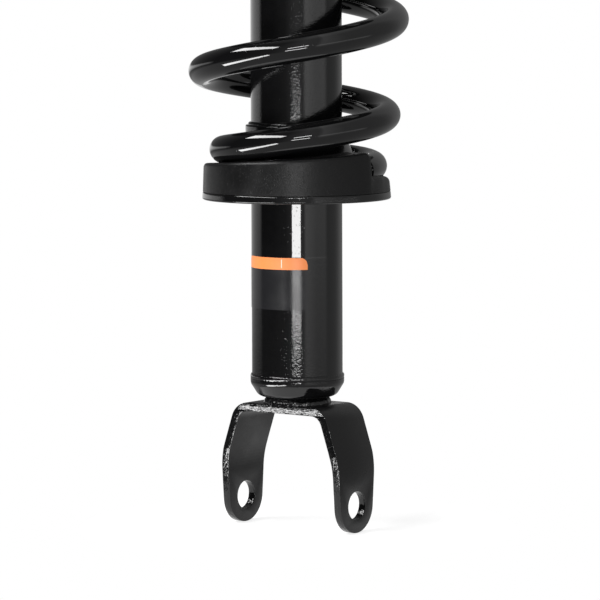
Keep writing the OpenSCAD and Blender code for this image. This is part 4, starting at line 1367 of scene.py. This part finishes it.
class STRUT_OT_bump_stop(bpy.types.Operator):
    """Make the strike cap, the bumper with its cup, and the dust boot"""

    bl_idname = "strut.bump_stop"
    bl_label = "Bump Stop and Boot"
    bl_options = {"REGISTER", "UNDO"}

    def cap(self, scene, s):
        """Pressed cap over the tube's crimp."""
        tube = scene.strut_damper.tube_radius
        foot, top = low("strike_cap"), high("strike_cap")
        outer, t = reach("strike_cap"), s.sheet
        outline = rounded(
            [
                (tube, foot, 0),
                (outer, foot, 0.5 * t),
                (outer, top, 3.0 * MM),
                (s.rod_radius + 2 * MM, top, 0.4 * t),
                (s.rod_radius + 2 * MM, top - t, 0),
                (tube, top - t, 2.6 * MM),
            ],
            8,
        )
        turned_piece("strike_cap_pressing", outline, STRUT, "zinc_steel", "strike_cap")

    def bumper(self, s):
        """Foam bumper with round rings, narrower towards its tip."""
        bottom, top, outer = low("jounce_bumper"), high("jounce_bumper"), reach("jounce_bumper")
        bore = s.rod_radius + 0.6 * MM
        head = top - low("bumper_cup")
        ring_h = (top - bottom - head) / s.rings
        taper = 1.5 * MM
        outline = [(bore + 1 * MM, bottom)]
        for k in range(s.rings):
            shrink = (s.rings - 1 - k) * taper
            for share in (i / 16 for i in range(17)):
                groove = s.waist * (1 - math.sin(math.pi * share) ** 0.6)
                outline.append((outer - shrink - groove, bottom + ring_h * (k + share)))
        outline += [(outer, top - head), (outer, top), (bore, top), (bore, bottom + 1 * MM)]
        node, sharp = "jounce_bumper", math.radians(50)
        obj = turned_piece("bumper_foam_stop", outline, ROD, "bumper_foam", node, 128, sharp)
        squash_to_stroke(obj)

    def cup(self, scene, s):
        """Pressed cup round the bumper's head."""
        thread = scene.strut_mount.thread_radius
        foot, top, outer = low("bumper_cup"), high("bumper_cup"), reach("bumper_cup")
        t = s.cup_wall
        outline = rounded(
            [
                (thread, top - t, 0),
                (outer - t, top - t, 1.0 * MM),
                (outer - t, foot, 0.4 * t),
                (outer, foot, 0.4 * t),
                (outer, top, 2.8 * MM),
                (thread, top, 0),
            ],
            8,
        )
        turned_piece("bumper_cup_pressing", outline, ROD, "zinc_steel", "bumper_cup")

    def boot(self, s):
        """Dust boot: a folded middle between two plain collars."""
        bottom, top, outer = low("dust_boot"), high("dust_boot"), reach("dust_boot")
        root = outer - s.boot_wall / 2 - s.fold_depth
        foot = bottom + s.boot_collar
        height = top - bottom - 2 * s.boot_collar
        folds = bellows(s, foot, height, root)
        wall = {"thickness": s.boot_wall, "offset": 0.0, "use_even_offset": True}
        walled = with_modifiers("boot_folds", folds, ("SOLIDIFY", wall))
        cap_r = reach("strike_cap") + 0.1 * MM
        cup_r = reach("bumper_cup") + 0.3 * MM
        collars = [
            self.collar("boot_foot", cap_r, root, bottom, foot, s.boot_wall, 1),
            self.collar("boot_head", cup_r, root, top, foot + height, s.boot_wall, -1),
        ]
        mesh = joined("dust_boot_bellows", walled, *collars)
        sharp = math.radians(60)
        obj = piece("dust_boot_bellows", mesh, STRUT, "boot_rubber", ["dust_boot"], sharp)
        squash_to_stroke(obj)

    def collar(self, name, grip, root, end, fold, wall, way):
        """A plain collar that grips its seat and flares or narrows to the folds."""
        neck = fold - way * 2.0 * MM
        lip = end + way * 2.2 * MM
        thick = wall + 0.7 * MM
        outline = [
            (grip, end, 0),
            (grip + thick, end, 0.6 * MM),
            (grip + thick, lip, 0.6 * MM),
            (grip + wall, lip + way * 0.6 * MM, 0.3 * MM),
            (grip + wall, neck, 1.0 * MM),
            (root + wall / 2, fold + way * 0.4 * MM, 0.3 * MM),
            (root - wall / 2, fold + way * 0.4 * MM, 0.2 * MM),
            (grip, neck, 0.8 * MM),
        ]
        return turned(name, rounded(outline, 4), 128)

    def execute(self, context):
        """Makes the four pieces."""
        scene = context.scene
        s = scene.strut_bump_stop
        self.cap(scene, s)
        self.bumper(s)
        self.cup(scene, s)
        self.boot(s)
        return {"FINISHED"}


class STRUT_OT_mount(bpy.types.Operator):
    """Make the plate, studs, bush, retainers, rod end and nut"""

    bl_idname = "strut.mount"
    bl_label = "Upper Mount"
    bl_options = {"REGISTER", "UNDO"}

    CORNERS = [math.pi / 2 + 2 * math.pi * k / 3 for k in range(3)]  # directions of the studs

    def plate(self, s):
        """Plate with three round lobes, and the hat drawn up in its middle."""
        bottom, top = low("mount_plate"), high("mount_plate")
        face = bottom + s.plate
        outline, holes = [], []
        for turn in self.CORNERS:
            centre, way = polar(s.stud_circle, turn), math.degrees(turn)
            outline += arc(centre, s.lobe, way - 60, way + 60, 18)
            edge = circle(centre, s.stud_radius + s.stud_step, 36)
            holes.append(extruded("stud_hole", edge, 3 * s.plate, at_height(bottom)))
        half = s.plate / 2
        flat = extruded("plate", outline, half, at_height(bottom + half))
        bore_r, under, over = s.hat - s.plate, bottom - s.plate, face + MM
        middle = turned("hat_bore", [(0, under), (bore_r, under), (bore_r, over), (0, over)], 128)
        drilled = cut("plate_drilled", flat, [*holes, middle])
        flange = eased("plate_flange", drilled, 0.7 * MM)
        hat = rounded(
            [
                (s.hat - s.plate, bottom, 0),
                (s.hat + 2.6 * MM, face - 0.5 * MM, 0),
                (s.hat + 2.6 * MM, face, 0),
                (s.hat, face, 2.5 * MM),
                (s.hat, top, 3.0 * MM),
                (s.hat_hole, top, 1.2 * MM),
                (s.hat_hole, top - s.plate, 1.0 * MM),
                (s.hat - s.plate, top - s.plate, 1.5 * MM),
            ],
            8,
        )
        mesh = joined("mount_plate_pressing", flange, turned("hat", hat))
        piece("mount_plate_pressing", mesh, ROD, "satin_black_steel", ["mount_plate"])

    def studs(self, s):
        """Three pressed-in studs with rolled threads."""
        bottom, top = low("mount_studs"), high("mount_studs")
        head = low("mount_plate")
        face = head + s.plate
        r, core = s.stud_radius, s.stud_radius - 0.8 * s.stud_pitch
        outline = [
            (0, bottom),
            (r * 1.6 - 0.4 * MM, bottom),
            (r * 1.6, bottom + 0.4 * MM),
            (r * 1.6, head),
            (r + s.stud_step, head),
            (r + s.stud_step, face + 0.3 * MM),
            (r, face + 0.6 * MM),
            (r, face + 3 * MM),
            (core, face + 3.8 * MM),
            (core, top - 1.0 * MM),
            (core - 0.9 * MM, top),
            (0, top),
        ]
        shank = turned("stud", outline, 48)
        shanks = []
        for turn in self.CORNERS:
            one = shank.copy()
            one.transform(Matrix.Translation(polar(s.stud_circle, turn)))
            shanks.append(one)
        along = face + 3.2 * MM, top - face - 4.6 * MM
        ridges = screw_thread("stud", r, s.stud_pitch, *along, s.stud_circle, 3, "zinc_steel")
        mesh = joined("stud_set", *shanks, ridges)
        piece("stud_set", mesh, ROD, "zinc_steel", ["mount_studs"], math.radians(40))

    def bush(self, s):
        """Bonded rubber between sleeve and hat, bulging a little out of the hat."""
        bottom, top = low("mount_bush"), high("mount_bush")
        hat_top, outer = high("mount_plate"), s.hat - s.plate
        retainer = reach("lower_retainer")
        outline = rounded(
            [
                (s.sleeve, bottom, 0),
                (retainer - 2 * MM, bottom, 1.2 * MM),
                (retainer - 2 * MM, bottom + 4 * MM, 3 * MM),
                (outer, high("upper_spring_seat") - 9 * MM, 4 * MM),
                (outer, hat_top - s.plate, 0.5 * MM),
                (s.hat_hole, hat_top - s.plate, 0),
                (s.hat_hole, hat_top + 0.3 * MM, 1.2 * MM),
                (retainer + 1.6 * MM, hat_top + 0.3 * MM, 1.2 * MM),
                (retainer + 0.8 * MM, top - 1.5 * MM, 2.5 * MM),
                (retainer - 3 * MM, top, 1.5 * MM),
                (s.sleeve, top, 0),
            ],
            6,
        )
        turned_piece("mount_bush_rubber", outline, ROD, "bush_rubber", "mount_bush")

    def retainers(self, s):
        """Flat washers with round edges, under and over the bush."""
        bore, edge = s.thread_radius + 0.1 * MM, 1.1 * MM
        for node in ("lower_retainer", "upper_retainer"):
            bottom, top, outer = low(node), high(node), reach(node)
            outline = rounded(
                [
                    (bore, bottom, 0),
                    (outer, bottom, edge),
                    (outer, top, edge),
                    (outer - 4 * MM, top, 0),
                    (bore, top, 0),
                ],
                6,
            )
            turned_piece(node + "_washer", outline, ROD, "zinc_steel", node)

    def rod(self, scene, s):
        """Chromed rod with its threaded upper end."""
        r = scene.strut_bump_stop.rod_radius
        bottom, top = low("piston_rod"), high("piston_rod")
        shoulder = high("bumper_cup") - scene.strut_bump_stop.cup_wall
        core = s.thread_radius - 0.8 * s.rod_pitch
        thread_foot = low("rod_nut") - 3 * MM
        tail = 6 * MM
        foot = high("piston") + 2 * MM
        outline = [
            (0, bottom),
            (tail - 1 * MM, bottom),
            (tail, bottom + 1 * MM),
            (tail, foot),
            (r - 0.5 * MM, foot),
            (r, foot + 0.5 * MM),
            (r, shoulder - 0.5 * MM),
            (r - 0.5 * MM, shoulder),
            (s.thread_radius, shoulder),
            (s.thread_radius, thread_foot),
            (core, thread_foot + 0.8 * MM),
            (core, top - 1.2 * MM),
            (core - 1 * MM, top),
            (0, top),
        ]
        corner = s.socket_flats / 2 / math.cos(math.radians(30))
        key = extruded("key", circle((0, 0), corner, 6), s.socket_depth, at_height(top))
        shank = cut("rod", turned("rod", outline, 128), [key])
        along = thread_foot, top - thread_foot - 1.4 * MM
        ridge = screw_thread("rod", s.thread_radius, s.rod_pitch, *along, 0.0, 1, "chromed_rod")
        mesh = joined("chromed_rod_shaft", shank, ridge)
        piece("chromed_rod_shaft", mesh, ROD, "chromed_rod", ["piston_rod"], math.radians(40))

    def nut(self, s):
        """Flanged hexagon nut with chamfered corners."""
        bottom, top = low("rod_nut"), high("rod_nut")
        flat = s.nut_flats / 2
        tip = flat / math.cos(math.radians(30))
        flange, flange_top = tip + 1.5 * MM, bottom + 2.5 * MM
        bore = s.thread_radius + 0.05 * MM
        chamfer, slope = 2.2 * MM, 0.75
        around = 192
        heights = [flange_top + 0.4 * MM]
        heights += [top - chamfer + chamfer * k / 8 for k in range(9)]
        limits = [tip - slope * max(0.0, z - (top - chamfer)) for z in heights]
        foot = [(bore, bottom), (flange - 0.5 * MM, bottom), (flange, bottom + 0.5 * MM)]
        foot += [(flange, flange_top - 0.6 * MM), (flange - 1.4 * MM, flange_top)]
        verts = []
        for i in range(around):
            turn = 2 * math.pi * i / around
            off = (turn + math.pi / 6) % (math.pi / 3) - math.pi / 6
            hexagon = flat / math.cos(off)
            column = foot + [(min(hexagon, limit), z) for limit, z in zip(limits, heights)]
            column += [(bore + 0.8 * MM, top), (bore, top - 0.8 * MM)]
            verts += [polar(r, turn, z) for r, z in column]
        mesh = mesh_of("rod_nut_hexagon", verts, ring_faces(around, len(verts) // around))
        piece("rod_nut_hexagon", mesh, ROD, "zinc_steel", ["rod_nut"], math.radians(25))

    def execute(self, context):
        """Makes the pieces from the plate up to the nut."""
        scene = context.scene
        s = scene.strut_mount
        self.plate(s)
        self.studs(s)
        self.bush(s)
        self.retainers(s)
        self.rod(scene, s)
        self.nut(s)
        return {"FINISHED"}


class STRUT_OT_label(bpy.types.Operator):
    """Stick the bare label on the tube"""

    bl_idname = "strut.label"
    bl_label = "Label"
    bl_options = {"REGISTER", "UNDO"}

    def strip(self, name, radius, film, left, right, bottom, top, corner, steps=90):
        """A film between two angles, its upper corners rounded, as columns over the tube."""
        verts = []
        for i in range(steps + 1):
            along = left + (right - left) * i / steps
            from_end = min(along - left, right - along) * radius
            drop = 0.0
            if corner > 0 and from_end < corner:
                drop = corner - math.sqrt(corner**2 - (corner - from_end) ** 2)
            inner, outer, ceiling = radius, radius + film, top - drop
            for r, z in ((inner, bottom), (outer, bottom), (outer, ceiling), (inner, ceiling)):
                verts.append(polar(r, along, z))
        faces = ring_faces(steps + 1, 4, closed_rows=False)
        last = steps * 4
        faces += [(0, 1, 2, 3), (last + 3, last + 2, last + 1, last)]
        return mesh_of(name, verts, faces)

    def execute(self, context):
        """Makes the band, the panel under it and the thin line."""
        scene = context.scene
        s = scene.strut_label
        r = scene.strut_damper.tube_radius + 0.02 * MM
        left, right = s.middle - s.half_arc, s.middle + s.half_arc
        half, inset = s.rule_width / r / 2, 1.0 * MM
        line = r + s.film, 0.02 * MM, s.rule_angle - half, s.rule_angle + half
        for name, shade, rough, *measures in (
            ("label_band", s.band, 0.34, r, s.film, left, right, s.band_bottom, s.top, s.corner),
            ("label_panel", s.panel, 0.20, r, s.film, left, right, s.bottom, s.band_bottom, 0.0),
            ("label_rule", s.rule, 0.34, *line, s.band_bottom + inset, s.top - inset, 0.0, 2),
        ):
            mesh = self.strip(name, *measures)
            mesh.materials.append(label_film(name, tuple(shade), rough))
            piece(name, mesh, STRUT, "gloss_black_steel")
        return {"FINISHED"}


# ---------------------------------------------------------------- stage


# Each lamp's two ends as (bearing, rise, distance), its width and its strength. Bearings count in
# degrees from the camera's side to the right, and distances in metres.
LAMPS = {
    "front_strip": ((-12, -3.4, 2.5), (9.5, -3.4, 2.5), 0.13, 21.5),
    "high_strip": ((-12, 13, 2.5), (9.5, 13, 2.5), 0.13, 21.5),
    "upper_left_box": ((-98, 46, 1.9), (-28, 31, 3.0), 0.40, 17.5),
    "lower_left_box": ((-86, -27, 1.9), (-28, -14, 3.0), 0.38, 19),
}
# The glow of the room by bearing, and of a bright band in it at the height of the horizon.
WALLS = (
    (-180, 0.20), (-125, 0.10), (-98, 0.01), (-60, 0.03), (-28, 0.12), (0, 0.45),
    (18, 0.42), (24, 0.80), (50, 0.45), (112, 0.33), (135, 0.40), (180, 0.20),
)
BAND = ((-108, 1.0), (-98, 0.0), (17, 0.0), (22, 0.75), (75, 0.65), (84, 0.0))
# Shares by rise: how much of that band, of the ground's own glow, and of the glow overhead.
HORIZON = ((-7, 0.0), (-1.5, 1.0), (1, 1.0), (4, 0.0))
GROUND = ((-16, 1.0), (-7, 0.0))
OVERHEAD = ((55, 0.0), (72, 0.3))
GROUND_GLOW = 0.42
BACKDROP_CONE = math.radians(11)  # mirrored rays see white this near the way behind the strut


class STRUT_OT_stage(bpy.types.Operator):
    """Set the camera, the floor and the lights"""

    bl_idname = "strut.stage"
    bl_label = "Stage"
    bl_options = {"REGISTER", "UNDO"}

    def axes(self, s):
        """Right and back of the camera before its roll, and back along the level."""
        back = Vector(
            (
                math.sin(s.camera_turn) * math.cos(s.camera_rise),
                -math.cos(s.camera_turn) * math.cos(s.camera_rise),
                math.sin(s.camera_rise),
            )
        )
        right = Vector((math.cos(s.camera_turn), math.sin(s.camera_turn), 0))
        return right, back, Vector((back.x, back.y, 0)).normalized()

    def camera(self, scene, s):
        """The camera at its fitted place."""
        right, back, _ = self.axes(s)
        up = back.cross(right)
        aim = Vector((0, 0, s.aim_height)) + right * s.aim_side
        data = bpy.data.cameras.new("camera")
        data.lens = s.lens
        data.sensor_width = 36.0
        data.clip_end = 50.0
        obj = bpy.data.objects.new("camera", data)
        scene.collection.objects.link(obj)
        c, k = math.cos(s.camera_roll), math.sin(s.camera_roll)
        basis = Matrix((right * c - up * k, up * c + right * k, back)).transposed()
        obj.matrix_world = Matrix.Translation(aim + back * s.distance) @ basis.to_4x4()
        scene.camera = obj

    def toward(self, s, bearing, rise, distance):
        """A point seen from the strut at a bearing and rise, in degrees from the camera's side."""
        right, _, level = self.axes(s)
        turn, lift = math.radians(bearing), math.radians(rise)
        way = level * math.cos(turn) * math.cos(lift) + right * math.sin(turn) * math.cos(lift)
        way.z = math.sin(lift)
        return Vector((0, 0, s.aim_height)) + way * distance

    def lamp(self, scene, s, name, start, end, width, strength):
        """A long softbox between two points that faces the strut."""
        first, last = self.toward(s, *start), self.toward(s, *end)
        middle = (first + last) / 2
        data = bpy.data.lights.new(name, "AREA")
        data.shape = "RECTANGLE"
        data.size = (last - first).length
        data.size_y = width
        data.energy = strength * data.size * width * math.pi
        obj = bpy.data.objects.new(name, data)
        obj.visible_camera = False
        scene.collection.objects.link(obj)
        along = (last - first).normalized()
        away = (middle - Vector((0, 0, s.aim_height))).normalized()
        away = (away - along * away.dot(along)).normalized()
        basis = Matrix((along, away.cross(along), away)).transposed()
        obj.matrix_world = Matrix.Translation(middle) @ basis.to_4x4()

    def sky(self, scene, s):
        """A studio room that is dark on the left in front, and white to the camera."""
        world = bpy.data.worlds.new("studio")
        world.use_nodes = True
        scene.world = world
        tree = Tree(world.node_tree)
        tree.tree.nodes.clear()
        right, back, level = self.axes(s)
        way = tree.add("ShaderNodeTexCoord").outputs["Generated"]

        def along(axis):
            """How far a direction points along an axis."""
            node = tree.add("ShaderNodeVectorMath", {0: way, 1: axis}, operation="DOT_PRODUCT")
            return node.outputs["Value"]

        bearing = tree.math("DEGREES", tree.math("ARCTAN2", along(right), along(level)))
        rise = tree.math("DEGREES", tree.math("ARCSINE", along(Vector((0, 0, 1)))))
        band = tree.math("MULTIPLY", by_steps(tree, bearing, BAND), by_steps(tree, rise, HORIZON))
        upper = tree.add_up([by_steps(tree, bearing, WALLS), band, by_steps(tree, rise, OVERHEAD)])
        sink = tree.math("SUBTRACT", GROUND_GLOW, upper)
        glow = tree.math("MULTIPLY_ADD", sink, by_steps(tree, rise, GROUND), upper)
        camera, mirrored = tree.rays()
        behind = tree.math("GREATER_THAN", along(-back), math.cos(BACKDROP_CONE))
        seen = tree.math("MAXIMUM", camera, tree.math("MULTIPLY", mirrored, behind))
        room = tree.add("ShaderNodeBackground", {"Color": (1, 1, 1, 1), "Strength": glow})
        white = tree.add("ShaderNodeBackground", {"Color": (1, 1, 1, 1), "Strength": 1.0})
        mix = tree.add("ShaderNodeMixShader", {0: seen, 1: room.outputs[0], 2: white.outputs[0]})
        output = tree.add("ShaderNodeOutputWorld")
        tree.tree.links.new(mix.outputs[0], output.inputs[0])

    def floor(self, scene, s):
        """A round pale floor under the strut, white to the camera where no shadow falls."""
        around, ground = 96, low("fork_bracket")
        verts = [polar(s.floor_radius, 2 * math.pi * i / around, ground) for i in range(around)]
        mesh = bpy.data.meshes.new("floor")
        mesh.from_pydata([tuple(v) for v in verts], [], [tuple(range(around))])
        coat = Finish("floor")
        coat.set(Base_Color=(*s.floor_colour, 1), Roughness=0.9, Specular_IOR_Level=0.1)
        seen = coat.math("MAXIMUM", *coat.rays())
        glow = coat.math("MULTIPLY", seen, s.floor_glow)
        coat.set(Emission_Color=(1, 1, 1, 1), Emission_Strength=glow)
        mesh.materials.append(coat.material)
        obj = bpy.data.objects.new("floor", mesh)
        scene.collection.objects.link(obj)

    def execute(self, context):
        """Sets the stage."""
        scene = context.scene
        s = scene.strut_stage
        scene.view_settings.view_transform = "Standard"
        self.camera(scene, s)
        self.sky(scene, s)
        self.floor(scene, s)
        for name, measures in LAMPS.items():
            self.lamp(scene, s, name, *measures)
        return {"FINISHED"}


class VIEW3D_PT_strut(bpy.types.Panel):
    """Sizes and steps of the strut"""

    bl_label = "Strut Assembly"
    bl_space_type = "VIEW_3D"
    bl_region_type = "UI"
    bl_category = "Strut"

    def draw(self, context):
        """Lists the steps and the sizes."""
        for operator in OPERATORS:
            self.layout.operator(operator.bl_idname)
        for name, group in GROUPS.items():
            box = self.layout.box()
            box.label(text=group.__doc__)
            for key in group.__annotations__:
                box.prop(getattr(context.scene, name), key)


OPERATORS = (
    STRUT_OT_finish_nodes,
    STRUT_OT_fork,
    STRUT_OT_damper,
    STRUT_OT_welds,
    STRUT_OT_seats,
    STRUT_OT_insulators,
    STRUT_OT_spring,
    STRUT_OT_bump_stop,
    STRUT_OT_mount,
    STRUT_OT_label,
    STRUT_OT_stage,
)


def register():
    """Registers the groups, the operators and the panel."""
    for name, group in GROUPS.items():
        bpy.utils.register_class(group)
        setattr(bpy.types.Scene, name, PointerProperty(type=group))
    for cls in (*OPERATORS, VIEW3D_PT_strut):
        bpy.utils.register_class(cls)


def unregister():
    """Takes them away again."""
    for cls in (VIEW3D_PT_strut, *reversed(OPERATORS)):
        bpy.utils.unregister_class(cls)
    for name, group in GROUPS.items():
        delattr(bpy.types.Scene, name)
        bpy.utils.unregister_class(group)


def main():
    """Builds every piece and the stage."""
    register()
    for operator in OPERATORS:
        area, step = operator.bl_idname.split(".")
        if getattr(getattr(bpy.ops, area), step)() != {"FINISHED"}:
            raise RuntimeError(f"{operator.bl_idname} did not finish")
    bpy.context.view_layer.update()


if __name__ == "__main__":
    main()
